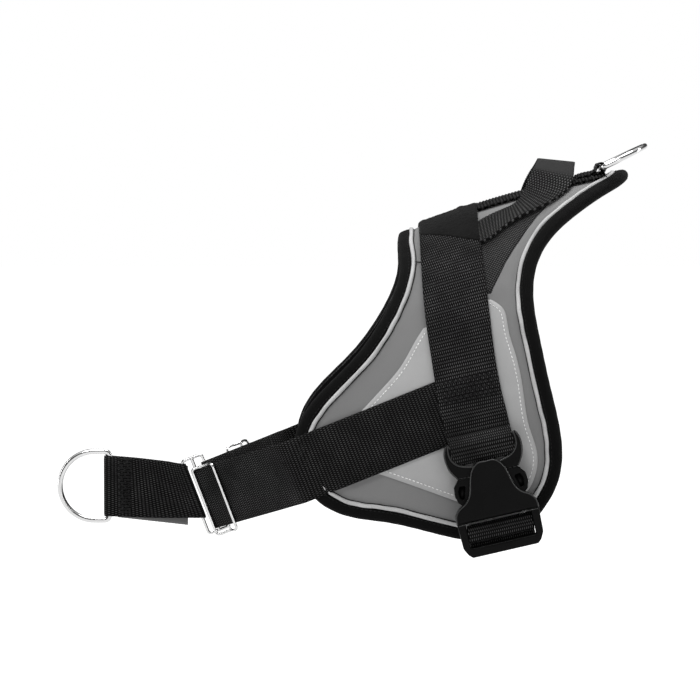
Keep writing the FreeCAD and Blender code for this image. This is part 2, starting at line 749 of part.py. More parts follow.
rear_prong = node(prong("Near_rear_prong", 1), "near_rear_prong")
front_prong = node(prong("Near_front_prong", -1), "near_front_prong")

female = body_at("Near_female", BUCKLE)
pad(female, "Shield", loop_of(both_sides(SHIELD)), "-Sizes.plate_face", "Sizes.plate_face")
doc.recompute()
pocket(female, "Mouth", box_runs(-40, 40, 11, 50), "-Sizes.plate_gap", "Sizes.plate_gap")
pocket(female, "Throat", box_runs(-25, 25, 7.9, 12), "-Sizes.plate_gap", "Sizes.plate_gap")
pocket(female, "Catch", box_runs(-29, 29, 1.5, 8), "-Sizes.plate_gap", "Sizes.plate_gap")
FRAME = [(32.6, 0.2), (31.8, -20), (29, -25.5), (26, -28.3)]
pad(female, "Frame", loop_of(both_sides(FRAME)), "-Sizes.plate_face + 1.5", "Sizes.plate_face - 2")
doc.recompute()
pocket(female, "Slot", box_runs(-26, 26, -20.8, -1.2), "-Sizes.plate_face", "Sizes.plate_face")
pad(female, "Web_bar", box_runs(-27, 27, -14, -6), "-1.5", "1.5")
node(female, "near_female_buckle")

for source, label in ((male, "far_male_buckle"), (rear_prong, "far_rear_prong"),
                      (front_prong, "far_front_prong"), (female, "far_female_buckle")):
    mirrored(source, label)

# belly strap: up through the lower slot, over the bar, in through the upper slot, each side
BELLY_NEAR = [(-111.5, -11.5), (-111.6, -6.5), (-113.4, -4.6), (-118.4, -4.5), (-119.4, -5.6),
              (-119.4, -14.4), (-118.4, -15.6), (-113.4, -16.2), (-110.8, -18.6), (-109.4, -24),
              (-103, -27.4), (-60, -30), (0, -31)]
belly_path = BELLY_NEAR + [(-y, v) for y, v in reversed(BELLY_NEAR[:-1])]
belly_frame = FreeCAD.Placement(
    V(size("buckle_x"), 0, size("buckle_z")),
    FreeCAD.Rotation(V(0, 1, 0), -size("buckle_tilt")) * FreeCAD.Rotation(V(1, 0, 0), 90))
belly = band_shape([(-y, v) for y, v in belly_path], WEB, belly_frame)
node(made("Belly", belly), "belly_strap")

# ---------------------------------------------------------------- check and write
doc.recompute()
bad = [o.Name for o in doc.Objects if {"Invalid", "Error"} & set(o.State)]
if bad:
    raise RuntimeError("failed objects: %s" % bad)
for obj in NODES:
    shape = obj.Shape
    if shape.isNull() or not shape.isValid():
        raise RuntimeError("bad shape: " + obj.Label)
    print("%-22s solids %d volume %9.1f" % (obj.Label, len(shape.Solids), shape.Volume))
    shape.exportStep("parts/%s.step" % obj.Label)
for label, place, reach in (("near", NEAR_PLACE, NEAR_TRIGLIDE_AT),
                            ("far", FAR_PLACE, FAR_TRIGLIDE_AT)):
    bar, run, up, normal = chest_line(place)
    middle = bar + run * reach + normal * WRAP
    print(label, "slide runs", [round(v, 5) for v in run], "at", [round(v, 2) for v in middle])
print("front bar", FRONT_BAR, SLIDE_UP)
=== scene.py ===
import math
import bpy
import bmesh
import numpy as np
from mathutils import Matrix, Vector
from mathutils.geometry import delaunay_2d_cdt
from mathutils.kdtree import KDTree


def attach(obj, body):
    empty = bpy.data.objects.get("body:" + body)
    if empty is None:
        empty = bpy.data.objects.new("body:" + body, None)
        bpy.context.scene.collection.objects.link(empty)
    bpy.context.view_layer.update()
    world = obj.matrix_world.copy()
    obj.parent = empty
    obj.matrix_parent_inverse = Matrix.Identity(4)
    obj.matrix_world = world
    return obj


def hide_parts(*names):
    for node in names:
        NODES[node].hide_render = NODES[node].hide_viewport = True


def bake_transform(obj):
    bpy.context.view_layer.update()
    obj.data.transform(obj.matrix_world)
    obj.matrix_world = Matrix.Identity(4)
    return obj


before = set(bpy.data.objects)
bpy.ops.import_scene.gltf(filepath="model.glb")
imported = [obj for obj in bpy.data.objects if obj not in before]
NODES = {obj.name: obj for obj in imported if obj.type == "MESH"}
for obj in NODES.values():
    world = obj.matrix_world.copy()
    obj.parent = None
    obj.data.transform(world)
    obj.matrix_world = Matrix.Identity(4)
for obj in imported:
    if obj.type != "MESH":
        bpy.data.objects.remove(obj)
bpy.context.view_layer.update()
RNG = np.random.default_rng(7)
MM = 0.001
SIDES = (("near", 1), ("far", -1))          # the near flank is at negative y


# ---------------- vectors and curves
def unit(v):
    v = np.asarray(v, float)
    return v / np.linalg.norm(v, axis=-1, keepdims=True)


def lerp(a, b, t):
    """The share t of the way from a to b."""
    return a + (b - a) * t


def smooth(t):
    """Eased step from 0 at 0 to 1 at 1."""
    t = np.clip(t, 0, 1)
    return t * t * (3 - 2 * t)


def distance_along(points):
    """Length of a polyline up to each of its points."""
    return np.concatenate([[0], np.cumsum(np.linalg.norm(np.diff(points, axis=0), axis=1))])


def natural_cubic(t, values, u):
    """Natural cubic spline through the values at t, taken at u."""
    n, h = len(t), np.diff(t)
    slope = np.diff(values, axis=0) / h[:, None]
    matrix, right = np.eye(n), np.zeros(values.shape)
    for i in range(1, n - 1):
        matrix[i, i - 1:i + 2] = h[i - 1], 2 * (h[i - 1] + h[i]), h[i]
        right[i] = 6 * (slope[i] - slope[i - 1])
    m = np.linalg.solve(matrix, right)
    k = np.clip(np.searchsorted(t, u, "right") - 1, 0, n - 2)
    a, b, hk = (t[k + 1] - u)[:, None], (u - t[k])[:, None], h[k][:, None]
    return (m[k] * a ** 3 + m[k + 1] * b ** 3) / (6 * hk) \
        + (values[k] / hk - m[k] * hk / 6) * a \
        + (values[k + 1] / hk - m[k + 1] * hk / 6) * b


def spline(points, step):
    """Smooth curve through the points, sampled every step or so."""
    p = np.asarray(points, float)
    t = distance_along(p)
    return natural_cubic(t, p, np.linspace(0, t[-1], max(2, int(t[-1] / step) + 1)))


def resample(points, step, closed=False):
    """The same polyline with evenly spaced points."""
    p = np.asarray(points, float)
    if closed:
        p = np.vstack([p, p[:1]])
    t = distance_along(p)
    u = np.linspace(0, t[-1], max(3, int(round(t[-1] / step)) + 1))
    out = np.stack([np.interp(u, t, p[:, i]) for i in range(p.shape[1])], 1)
    return out[:-1] if closed else out


# ---------------- the back that the saddle fits
TILT = math.radians(17)
ALONG = np.array([math.cos(TILT), 0, math.sin(TILT)])
ABOVE = np.array([-math.sin(TILT), 0, math.cos(TILT)])
SIDE = np.array([0, -1, 0])
CENTRE = np.array([78.0, 0, -155.53])
HALF = np.array([400.0, 172.0, 100.0])
MID = 4.0                                   # level at which the maps below are exact
ROUND = 140.0                               # millimetres to a radian round the barrel


def to_map(x, z):
    """Side view point to flat cloth coordinates: along the back, and down the flank."""
    d = np.stack([np.asarray(x, float) - CENTRE[0], 0 * np.asarray(x, float),
                  np.asarray(z, float) - CENTRE[2]], -1)
    s = d @ ALONG / (HALF[0] + MID)
    c = d @ ABOVE / ((HALF[1] + MID) * np.sqrt(1 - s * s))
    return np.stack([s * HALF[0], np.arccos(np.clip(c, -1, 1)) * ROUND], -1)


def on_map(m, level):
    """Point of the saddle at map place m, and the outward normal."""
    m = np.asarray(m, float)
    s, phi = m[..., 0] / HALF[0], m[..., 1] / ROUND
    r = np.sqrt(1 - s * s)
    half = HALF + MID
    parts = s, r * np.cos(phi), r * np.sin(phi)
    axes = ALONG, ABOVE, SIDE
    point = CENTRE + sum((p * h)[..., None] * a for p, h, a in zip(parts, half, axes))
    normal = unit(sum((p / h)[..., None] * a for p, h, a in zip(parts, half, axes)))
    return point + normal * (np.asarray(level) - MID)[..., None], normal


def on_back(x, z, level):
    """Point of the near flank at a side view place, at a level above the back."""
    d = np.array([x - CENTRE[0], 0, z - CENTRE[2]])
    rest = 1 - (d @ ALONG / (HALF[0] + level)) ** 2 - (d @ ABOVE / (HALF[1] + level)) ** 2
    return np.array([x, -(HALF[2] + level) * math.sqrt(max(0, rest)), z])


def back_normal(p, level):
    d = p - CENTRE
    return unit(ALONG * (d @ ALONG) / (HALF[0] + level) ** 2
                + ABOVE * (d @ ABOVE) / (HALF[1] + level) ** 2
                + np.array([0, d[1], 0]) / (HALF[2] + level) ** 2)


def both_flanks(half):
    """A map outline from the spine round the near flank to the spine, and its mirror image."""
    inside = half[half[:, 1] > 0.8]
    first, last = inside[0].copy(), inside[-1].copy()
    first[1], last[1] = 0, 0
    near = np.vstack([[first], inside, [last]])
    far = near[1:-1][::-1] * [1, -1]
    return np.vstack([near, far])


# ---------------- mesh helpers
def new_object(name, verts, faces, material, uv=None, body=None, slot=None, replaces=()):
    """verts in millimetres, uv in metres for each vertex."""
    mesh = bpy.data.meshes.new(name)
    mesh.from_pydata((np.asarray(verts) * MM).tolist(), [], faces)
    mesh.update()
    if uv is not None:
        layer = mesh.uv_layers.new(name="cloth")
        index = np.zeros(len(mesh.loops), int)
        mesh.loops.foreach_get("vertex_index", index)
        layer.data.foreach_set("uv", np.asarray(uv, float)[index].ravel())
    bm = bmesh.new()
    bm.from_mesh(mesh)
    bmesh.ops.recalc_face_normals(bm, faces=bm.faces)
    bm.to_mesh(mesh)
    bm.free()
    mesh.polygons.foreach_set("use_smooth", [True] * len(mesh.polygons))
    obj = bpy.data.objects.new(name, mesh)
    bpy.context.scene.collection.objects.link(obj)
    mesh.materials.append(material)
    if body:
        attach(obj, body)
    if replaces:
        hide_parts(*replaces)
    return obj


def grid_faces(rows, cols, close_rows=False, close_cols=False, offset=0):
    i, j = np.meshgrid(np.arange(rows if close_rows else rows - 1),
                       np.arange(cols if close_cols else cols - 1), indexing="ij")
    a, b = (i + 1) % rows, (j + 1) % cols
    quads = np.stack([i * cols + j, i * cols + b, a * cols + b, a * cols + j], -1)
    return (quads.reshape(-1, 4) + offset).tolist()


def region(outline, spacing):
    """Even triangle mesh of a closed outline in the map, and the outline's vertex numbers."""
    edge = resample(outline, spacing, closed=True)
    low, high = edge.min(0), edge.max(0)
    ys = np.arange(low[1], high[1], spacing * 0.866)
    inner = np.array([(x + (spacing / 2 if k % 2 else 0), y) for k, y in enumerate(ys)
                      for x in np.arange(low[0], high[0], spacing)])
    inside = np.zeros(len(inner), bool)
    near = np.full(len(inner), 1e9)
    for a, b in zip(edge, np.roll(edge, -1, axis=0)):
        crosses = (a[1] > inner[:, 1]) != (b[1] > inner[:, 1])
        at = a[0] + (inner[:, 1] - a[1]) / (b[1] - a[1] + 1e-12) * (b[0] - a[0])
        inside ^= crosses & (inner[:, 0] < at)
        near = np.minimum(near, np.hypot(inner[:, 0] - a[0], inner[:, 1] - a[1]))
    points = np.vstack([edge, inner[inside & (near > spacing * 0.6)]])
    ring = list(range(len(edge)))
    out = delaunay_2d_cdt([Vector(p) for p in points], list(zip(ring, ring[1:] + ring[:1])),
                          [], 1, 1e-6)
    return np.array([tuple(v) for v in out[0]]), [list(f) for f in out[2]], ring


def edge_distance(points, outline_points):
    tree = KDTree(len(outline_points))
    for i, p in enumerate(outline_points):
        tree.insert(p, i)
    tree.balance()
    return np.array([tree.find(p)[2] for p in points])


def panel(name, outline, low, high, material, spacing=2.4, puff=0.0, far=False, sink=None,
          **keys):
    """A thin piece of cloth sewn on the saddle: top, skirt down to the low level, rounded rim.

    sink lowers it by a function of the distance from the spine."""
    places, faces, ring = region(outline, spacing)
    places = places * ([1, -1] if far else [1, 1])
    ground, _ = on_map(places, high)
    gap = edge_distance(ground, ground[ring])
    level = high + puff * smooth(gap / 7.0) - 0.35 * np.clip(1 - gap / 1.5, 0, 1) ** 2
    lower = sink(places[:, 1]) if sink else np.zeros(len(places))
    top, _ = on_map(places, level - lower)
    skirt, _ = on_map(places[ring], low - lower[ring])
    n, count = len(top), len(ring)
    walls = [[ring[i], ring[(i + 1) % count], n + (i + 1) % count, n + i]
             for i in range(count)]
    uv = np.vstack([places, places[ring]]) * MM
    return new_object(name, np.vstack([top, skirt]), faces + walls, material, uv, **keys)


def tube(name, centre, radius, material, sides=10, closed=False, **keys):
    """Round section along a polyline; radius may vary along it."""
    c = np.asarray(centre, float)
    run = unit(np.roll(c, -1, 0) - np.roll(c, 1, 0)) if closed else unit(np.gradient(c, axis=0))
    out = unit(np.cross(run, [0.31, 0.2, 0.93]))
    up = np.cross(run, out)
    turn = np.linspace(0, 2 * math.pi, sides, endpoint=False)
    r = np.broadcast_to(np.asarray(radius, float), (len(c),))[:, None, None]
    verts = c[:, None] + r * (np.cos(turn)[None, :, None] * out[:, None]
                              + np.sin(turn)[None, :, None] * up[:, None])
    faces = grid_faces(len(c), sides, close_rows=closed, close_cols=True)
    if not closed:
        faces += [list(range(sides))[::-1], [(len(c) - 1) * sides + k for k in range(sides)]]
    uv = np.stack([np.broadcast_to(turn * np.mean(r), (len(c), sides)),
                   np.broadcast_to(distance_along(c)[:, None], (len(c), sides))], -1)
    uv = uv.reshape(-1, 2) * MM
    return new_object(name, verts.reshape(-1, 3), faces, material, uv, **keys)


# ---------------- webbing
RIB = 2.7


def refine(stations, step):
    """Stations of (points, normals) across a web, resampled along their run by splines."""
    points = np.array([s[0] for s in stations], float)
    normals = np.array([s[1] for s in stations], float)
    n, k = points.shape[:2]
    t = distance_along(points[:, k // 2])
    u = np.linspace(0, t[-1], int(t[-1] / step) + 1)
    out = natural_cubic(t, np.hstack([points.reshape(n, -1), normals.reshape(n, -1)]), u)
    return out[:, :3 * k].reshape(-1, k, 3), unit(out[:, 3 * k:].reshape(-1, k, 3)), u


def web(name, stations, material, thick=1.6, cols=21, step=0.45, rib=0.16, plain=None, **keys):
    """Woven web with ribs across it. plain(u) gives how much of the ribs is left at run u."""
    points, normals, u = refine(stations, step)
    k = points.shape[1]
    w = np.linspace(0, k - 1, cols)
    q = np.clip(w.astype(int), 0, k - 2)
    f = (w - q)[None, :, None]
    p = points[:, q] * (1 - f) + points[:, q + 1] * f
    n = unit(normals[:, q] * (1 - f) + normals[:, q + 1] * f)
    across = np.linspace(-1, 1, cols)
    keep = np.ones(len(u)) if plain is None else plain(u)
    bulge = np.abs(np.sin(math.pi * u / RIB))
    hem = 0.30 * np.clip((np.abs(across) - 0.93) / 0.07, 0, 1)[None]
    above = thick / 2 - rib / 2 + rib * (bulge * keep)[:, None] - hem
    side = unit(p[:, -1] - p[:, 0])[:, None] * (0.12 * bulge)[:, None, None]
    top, low = p + n * above[..., None], p - n * above[..., None]
    top[:, -1:] += side
    low[:, -1:] += side
    top[:, :1] -= side
    low[:, :1] -= side
    ring = np.concatenate([top, low[:, ::-1]], 1)
    rows, count = ring.shape[:2]
    faces = grid_faces(rows, count, close_cols=True)
    faces += [list(range(count))[::-1], [(rows - 1) * count + i for i in range(count)]]
    half = np.linalg.norm(p[0, -1] - p[0, 0]) / 2
    strip = np.concatenate([across, across[::-1]]) * half
    uv = np.stack([np.broadcast_to(strip, (rows, count)),
                   np.broadcast_to(u[:, None], (rows, count))], -1).reshape(-1, 2) * MM
    return new_object(name, ring.reshape(-1, 3), faces, material, uv, **keys)


STITCH_FLAT, STITCH_JITTER = 0.55, 0.15     # thickness to width, and unevenness to gap


def stitch_run(places, normals, length, gap, radius):
    """Verts and faces of small threads laid along a line, each sunk at both its ends."""
    line = np.asarray(places, float)
    t = distance_along(line)
    verts, faces = [], []
    sides, rings = 6, 5
    profile = np.array([0.35, 0.9, 1, 0.9, 0.35])
    rise = np.array([-0.6, 0.55, 0.8, 0.55, -0.6])
    starts = np.arange(gap, t[-1] - length, length + gap)
    for s in starts:
        s = s + RNG.normal() * STITCH_JITTER * gap
        u = s + length * np.linspace(0, 1, rings)
        c = np.stack([np.interp(u, t, line[:, i]) for i in range(3)], 1)
        n = unit(np.stack([np.interp(u, t, normals[:, i]) for i in range(3)], 1))
        run = unit(np.gradient(c, axis=0))
        out = unit(np.cross(n, run))
        c = c + n * (radius * STITCH_FLAT * rise)[:, None]
        base = len(verts)
        for i in range(rings):
            for k in range(sides):
                a = 2 * math.pi * k / sides
                section = math.cos(a) * out[i] + math.sin(a) * STITCH_FLAT * n[i]
                verts.append(c[i] + radius * profile[i] * section)
        faces += grid_faces(rings, sides, close_cols=True, offset=base)
        faces += [[base + k for k in range(sides)][::-1],
                  [base + (rings - 1) * sides + k for k in range(sides)]]
    return verts, faces


def stitches(name, runs, material, length=2.3, gap=0.9, radius=0.33, **keys):
    """runs are lists of (points, normals)."""
    verts, faces = [], []
    for places, normals in runs:
        v, f = stitch_run(places, normals, length, gap, radius)
        faces += [[i + len(verts) for i in face] for face in f]
        verts += v
    return new_object(name, verts, faces, material, **keys)


# ---------------- materials
class Nodes:
    """A material's node tree, with the few steps that the finishes share."""

    def __init__(self, name, base, rough, metal=0.0, sheen=0.0, sheen_rough=0.5, specular=0.5):
        self.material = bpy.data.materials.new(name)
        self.material.use_nodes = True
        self.tree = self.material.node_tree
        self.shader = self.tree.nodes["Principled BSDF"]
        s = self.shader.inputs
        s["Base Color"].default_value = (*base, 1)
        s["Roughness"].default_value = rough
        s["Metallic"].default_value = metal
        s["Sheen Weight"].default_value = sheen
        s["Sheen Roughness"].default_value = sheen_rough
        s["IOR"].default_value = 1.45
        s["Specular IOR Level"].default_value = specular

    def add(self, kind, **values):
        node = self.tree.nodes.new(kind)
        for key, value in values.items():
            if key in node.inputs.keys():
                node.inputs[key].default_value = value
            else:
                setattr(node, key, value)
        return node

    def link(self, a, b):
        self.tree.links.new(a, b)

    def math(self, operation, a, b=None, clamp=False):
        node = self.add("ShaderNodeMath", operation=operation, use_clamp=clamp)
        for socket, value in zip(node.inputs, (a, b)):
            if value is None:
                continue
            if isinstance(value, (int, float)):
                socket.default_value = value
            else:
                self.link(value, socket)
        return node.outputs[0]

    def place(self, cloth):
        """Coordinates in metres: along the cloth, or of the object."""
        coords = self.add("ShaderNodeTexCoord")
        return coords.outputs["UV" if cloth else "Object"]

    def noise(self, where, scale, detail):
        node = self.add("ShaderNodeTexNoise", Scale=scale, Detail=detail, Roughness=0.55)
        self.link(where, node.inputs["Vector"])
        return node.outputs["Fac"]

    def ramp(self, value, low, high, dark, light):
        node = self.add("ShaderNodeMapRange")
        for key, number in (("From Min", low), ("From Max", high), ("To Min", dark),
                            ("To Max", light)):
            node.inputs[key].default_value = number
        self.link(value, node.inputs["Value"])
        return node.outputs["Result"]

    def shade(self, value, dark, light):
        """Base colour between two greys by value."""
        node = self.add("ShaderNodeMix", data_type="RGBA")
        for socket in node.inputs:
            if socket.name == "A" and socket.type == "RGBA":
                socket.default_value = (*dark, 1)
            if socket.name == "B" and socket.type == "RGBA":
                socket.default_value = (*light, 1)
        self.link(value, node.inputs["Factor"])
        output = [o for o in node.outputs if o.type == "RGBA"][0]
        self.link(output, self.shader.inputs["Base Color"])

    def bump(self, value, strength, distance):
        node = self.add("ShaderNodeBump", Strength=strength, Distance=distance)
        self.link(value, node.inputs["Height"])
        self.link(node.outputs["Normal"], self.shader.inputs["Normal"])


def split(n, where):
    node = n.add("ShaderNodeSeparateXYZ")
    n.link(where, node.inputs[0])
    return node.outputs[0], node.outputs[1]


def waves(n, value, pitch):
    """Sine of a length in metres."""
    return n.math("SINE", n.math("MULTIPLY", value, 2 * math.pi / pitch))


def webbing_material(name, base, light, dot=0.0016, rough=0.62, smooth_at=None):
    """Ribs lie across the web; where the yarns cross them, staggered pale dots are painted in as
    highlights, dimmed at random by a noise.

    smooth_at is a run, in metres, round which the web is folded so flat that no dots show; there a
    faint even painted sheen takes their place."""
    n = Nodes(name, base, rough, sheen=0.02, sheen_rough=0.4, specular=0.035)
    where = n.place(True)
    u, v = split(n, where)
    rib = waves(n, v, 2 * RIB * MM)
    yarn = waves(n, u, dot)
    dots = n.math("MULTIPLY", rib, yarn)
    fine = n.noise(where, 900, 2)
    height = n.math("ADD", n.math("MULTIPLY", n.math("MAXIMUM", dots, 0.0), 0.8),
                    n.math("MULTIPLY", fine, 0.35))
    # the dots' pale colour is a painted highlight, made stronger or weaker at random by this noise
    dot_dimming = n.noise(where, 35, 4)
    painted_dots = n.math("MULTIPLY", n.ramp(dots, 0.25, 0.95, 0, 1), n.ramp(dot_dimming, 0.3, 0.7, 0.35, 1.0))
    # where the web is folded flat the painted dots fade into a faint even painted sheen
    if smooth_at is not None:
        away = n.math("ABSOLUTE", n.math("SUBTRACT", v, smooth_at))
        shown = n.ramp(away, 0.018, 0.026, 0.0, 1.0)
        painted_dots = n.math("MAXIMUM", n.math("MULTIPLY", painted_dots, shown),
                      n.math("MULTIPLY", n.math("SUBTRACT", 1.0, shown), 0.12))
        height = n.math("MULTIPLY", height, shown)
    n.shade(painted_dots, base, light)
    n.link(n.ramp(painted_dots, 0, 1, rough, rough - 0.2), n.shader.inputs["Roughness"])
    n.bump(height, 0.8, 0.00035)
    return n.material


def woven_material(name, base, light, pitch, rough=0.8, sheen=0.1, strength=0.5, patchy=0.25):
    """Plain weave at a pitch, with soft patches of tone."""
    n = Nodes(name, base, rough, sheen=sheen, specular=0.04)
    where = n.place(True)
    u, v = split(n, where)
    weave = n.math("MULTIPLY", waves(n, u, pitch), waves(n, v, pitch))
    cloud = n.noise(where, 28, 4)
    tone = n.math("ADD", n.math("MULTIPLY", n.ramp(weave, -0.2, 0.9, 0, 1.0), 1 - patchy),
                  n.math("MULTIPLY", cloud, patchy), clamp=True)
    n.shade(tone, base, light)
    n.bump(n.math("ADD", weave, n.math("MULTIPLY", n.noise(where, 1500, 2), 0.5)),
           strength, pitch * 0.22)
    return n.material


def grained_material(name, base, light, rough, grain, strength, sheen=0.0, cloth=True,
                     metal=0.0, wear=0.0, depth=0.0002, specular=0.3):
    """Fine isotropic grain, with tone and gloss that vary slightly over the surface."""
    n = Nodes(name, base, rough, metal=metal, sheen=sheen, specular=specular)
    where = n.place(cloth)
    cloud = n.noise(where, 40, 5)
    fine = n.noise(where, grain, 3)
    tone = n.math("ADD", n.math("MULTIPLY", cloud, 0.7), n.math("MULTIPLY", fine, 0.3))
    n.shade(n.ramp(tone, 0.3, 0.7, 0, 1), base, light)
    gloss = n.ramp(cloud, 0.3, 0.7, rough - 0.06 - wear, rough + 0.06)
    n.link(gloss, n.shader.inputs["Roughness"])
    n.bump(fine, strength, depth)
    return n.material


def grey(value):
    return (value, value, value)


# the second grey of each webbing is the colour of its painted highlight dots
WEBBING = webbing_material("webbing", grey(0.0016), grey(0.088))
GIRTH_WEB = webbing_material("girth_webbing", grey(0.0022), grey(0.112))
SHELL = woven_material("shell_fabric", grey(0.150), grey(0.186), 0.0007, rough=0.75,
                       strength=0.25, sheen=0.05)
PATCH = grained_material("reflective_patch", grey(0.285), grey(0.33), 0.5, 1400, 0.15,
                         specular=0.1)
PIPING = grained_material("piping", grey(0.27), grey(0.47), 0.45, 700, 0.4, specular=0.1)
BINDING = woven_material("binding_tape", grey(0.0012), grey(0.007), 0.0011, rough=0.85,
                         strength=0.6, sheen=0.03)
BALLISTIC = woven_material("ballistic_fabric", grey(0.005), grey(0.08), 0.0024, rough=0.6,
                           strength=0.9, sheen=0.04, patchy=0.1)
LINING = woven_material("lining_mesh", grey(0.018), grey(0.06), 0.0032, rough=0.85,
                        strength=0.9)
PILE = grained_material("hook_loop", grey(0.002), grey(0.007), 0.9, 900, 1.0, sheen=0.04,
                        depth=0.0004, specular=0.04)
THREAD_LIGHT = grained_material("thread_light", grey(0.62), grey(0.8), 0.5, 1500, 0.3,
                                cloth=False)
THREAD_DARK = grained_material("thread_dark", grey(0.003), grey(0.016), 0.6, 1500, 0.3,
                               cloth=False, specular=0.1)
TAPE = woven_material("lining_tape", grey(0.09), grey(0.14), 0.0009)
CHROME = grained_material("plated_steel", grey(0.50), grey(0.62), 0.12, 900, 0.06, metal=1.0,
                          cloth=False, wear=0.03, depth=0.00005)
PLASTIC = grained_material("buckle_plastic", grey(0.0025), grey(0.0045), 0.33, 2600, 0.2,
                           cloth=False, wear=0.05, depth=0.00004, specular=0.05)
# the buckle's plastic with a lighter colour: a painted highlight on the raised rims, beads and
# seams, which are also glossier
PLASTIC_HIGHLIT_EDGE = grained_material("buckle_edge_highlight", grey(0.008), grey(0.012), 0.3, 2600, 0.2,
                                cloth=False, wear=0.05, depth=0.00004, specular=0.5)

# ---------------- the saddle
# this outline and those below are side view points (x, z) in millimetres
EDGE = [(-29, 60), (-30, 20), (-38, 3), (-45, -12), (-45, -36), (-50, -57), (-60, -77),
        (-78, -103), (-104, -130), (-122, -153), (-128, -172), (-125, -194), (-112, -216),
        (-92, -228), (-58, -234), (-22, -242), (12, -249), (40, -247), (64, -226),
        (77, -202), (80, -180), (77, -156), (69, -121), (61, -82), (58, -50), (63, -28),
        (75, -9), (95, 9), (120, 26), (136, 37), (143, 48), (145, 62)]
SHELL_LEVEL, PAD_LOW = 6.0, 1.1             # millimetres above the dog's back
LINING_LOW, LINING_TOP = 0.15, 0.95
PANEL_LOW = 5.6                             # where the panels' rims go into the shell
PIPING_IN, SEAM_IN = 11.1, 12.9             # millimetres inside the rim
edge_curve = spline(EDGE, 1.0)
rim = resample(both_flanks(to_map(edge_curve[:, 0], edge_curve[:, 1])), 1.6, closed=True)


def inward(outline):
    """Points of the closed outline on the saddle, their normals, and the way into it."""
    point, normal = on_map(outline, SHELL_LEVEL)
    run = unit(np.roll(point, -1, 0) - np.roll(point, 1, 0))
    for _ in range(3):
        run = unit(np.roll(run, 1, 0) + 2 * run + np.roll(run, -1, 0))
    into = np.cross(normal, run)
    middle = on_map(np.array([[-20.0, 60.0]]), SHELL_LEVEL)[0][0]
    probe = int(np.argmin(outline[:, 0]))
    if (middle - point[probe]) @ into[probe] < 0:
        into = -into
    return point, normal, into


rim_point, rim_normal, rim_in = inward(rim)
rim_run = distance_along(rim_point)


def rim_line(distance, level):
    """Closed line at a distance inside the rim, at a level above the back."""
    return rim_point + rim_in * np.asarray(distance)[..., None] \
        + rim_normal * (np.asarray(level) - SHELL_LEVEL)[..., None]


def cushion_level(gap):
    """Height of the pad's cloth: dips at the binding's seam, swells inside it."""
    seam = np.exp(-((gap - SEAM_IN) / 1.3) ** 2)
    return 5.7 + 0.75 * smooth((gap - 13) / 9.0) - 1.0 * seam


def pad_swell(places, faces, held):
    """How far a light cloth over the foam swells under pressure, by Blender's cloth."""
    ground, normal = on_map(places, SHELL_LEVEL)
    mesh = bpy.data.meshes.new("swell")
    mesh.from_pydata((ground * MM).tolist(), [], faces)
    obj = bpy.data.objects.new("swell", mesh)
    bpy.context.scene.collection.objects.link(obj)
    group = obj.vertex_groups.new(name="held")
    for i, weight in enumerate(held):
        if weight > 0:
            group.add([i], float(weight), "REPLACE")
    cloth = obj.modifiers.new("cloth", "CLOTH")
    settings = cloth.settings
    settings.use_pressure = True
    settings.uniform_pressure_force = 4.0
    settings.vertex_group_mass = "held"
    settings.shrink_min = -0.012
    settings.tension_stiffness = settings.compression_stiffness = 12
    settings.bending_stiffness = 0.4
    settings.effector_weights.gravity = 0
    cloth.collision_settings.use_collision = False
    scene = bpy.context.scene
    for frame_number in range(1, 21):
        scene.frame_set(frame_number)
    shape = obj.evaluated_get(bpy.context.evaluated_depsgraph_get())
    moved = np.array([v.co for v in shape.data.vertices]) / MM
    scene.frame_set(1)
    bpy.data.objects.remove(obj)
    bpy.data.meshes.remove(mesh)
    return np.clip(((moved - ground) * normal).sum(1), -0.6, 1.6)


places, faces, ring = region(rim, 3.0)
shell_points = on_map(places, SHELL_LEVEL)[0]
gap = edge_distance(shell_points, shell_points[ring])
level = cushion_level(gap)
coarse, coarse_faces, coarse_ring = region(rim, 6.0)
coarse_ground = on_map(coarse, SHELL_LEVEL)[0]
coarse_gap = edge_distance(coarse_ground, coarse_ground[coarse_ring])
swell = pad_swell(coarse, coarse_faces, (coarse_gap < 14).astype(float))
tree = KDTree(len(coarse))
for i, p in enumerate(coarse):
    tree.insert((*p, 0), i)
tree.balance()
field = np.zeros(len(places))
for i, p in enumerate(places):
    found = tree.find_n((*p, 0), 4)
    weights = np.array([1 / (f[2] + 0.5) ** 2 for f in found])
    field[i] = weights @ swell[[f[1] for f in found]] / weights.sum()
level = level + (field - field.max()) * 0.3 * smooth((gap - 13) / 10)
top, _ = on_map(places, level)
bottom, _ = on_map(places, PAD_LOW + 0.4 * smooth(1 - gap / 12))
count = len(places)
walls = [[ring[i], ring[(i + 1) % len(ring)], count + ring[(i + 1) % len(ring)],
          count + ring[i]] for i in range(len(ring))]
pad_verts = np.vstack([top, bottom])
for i, r in enumerate(ring):
    into = rim_in[np.argmin(np.linalg.norm(rim_point - shell_points[r], axis=1))]
    pad_verts[r] += into * 1.8
    pad_verts[count + r] += into * 1.8
pad_faces = faces + [[i + count for i in f][::-1] for f in faces] + walls
saddle_pad = new_object("saddle_pad", pad_verts, pad_faces, SHELL,
                        np.vstack([places, places]) * MM, body="saddle", slot="shell_fabric",
                        replaces=("outer_shell", "foam_pad"))

lining_top, _ = on_map(places, LINING_TOP)
lining_low, _ = on_map(places, LINING_LOW)
new_object("lining_cloth", np.vstack([lining_top, lining_low]), pad_faces, LINING,
           np.vstack([places, places]) * MM, body="saddle", slot="lining_mesh",
           replaces=("lining",))

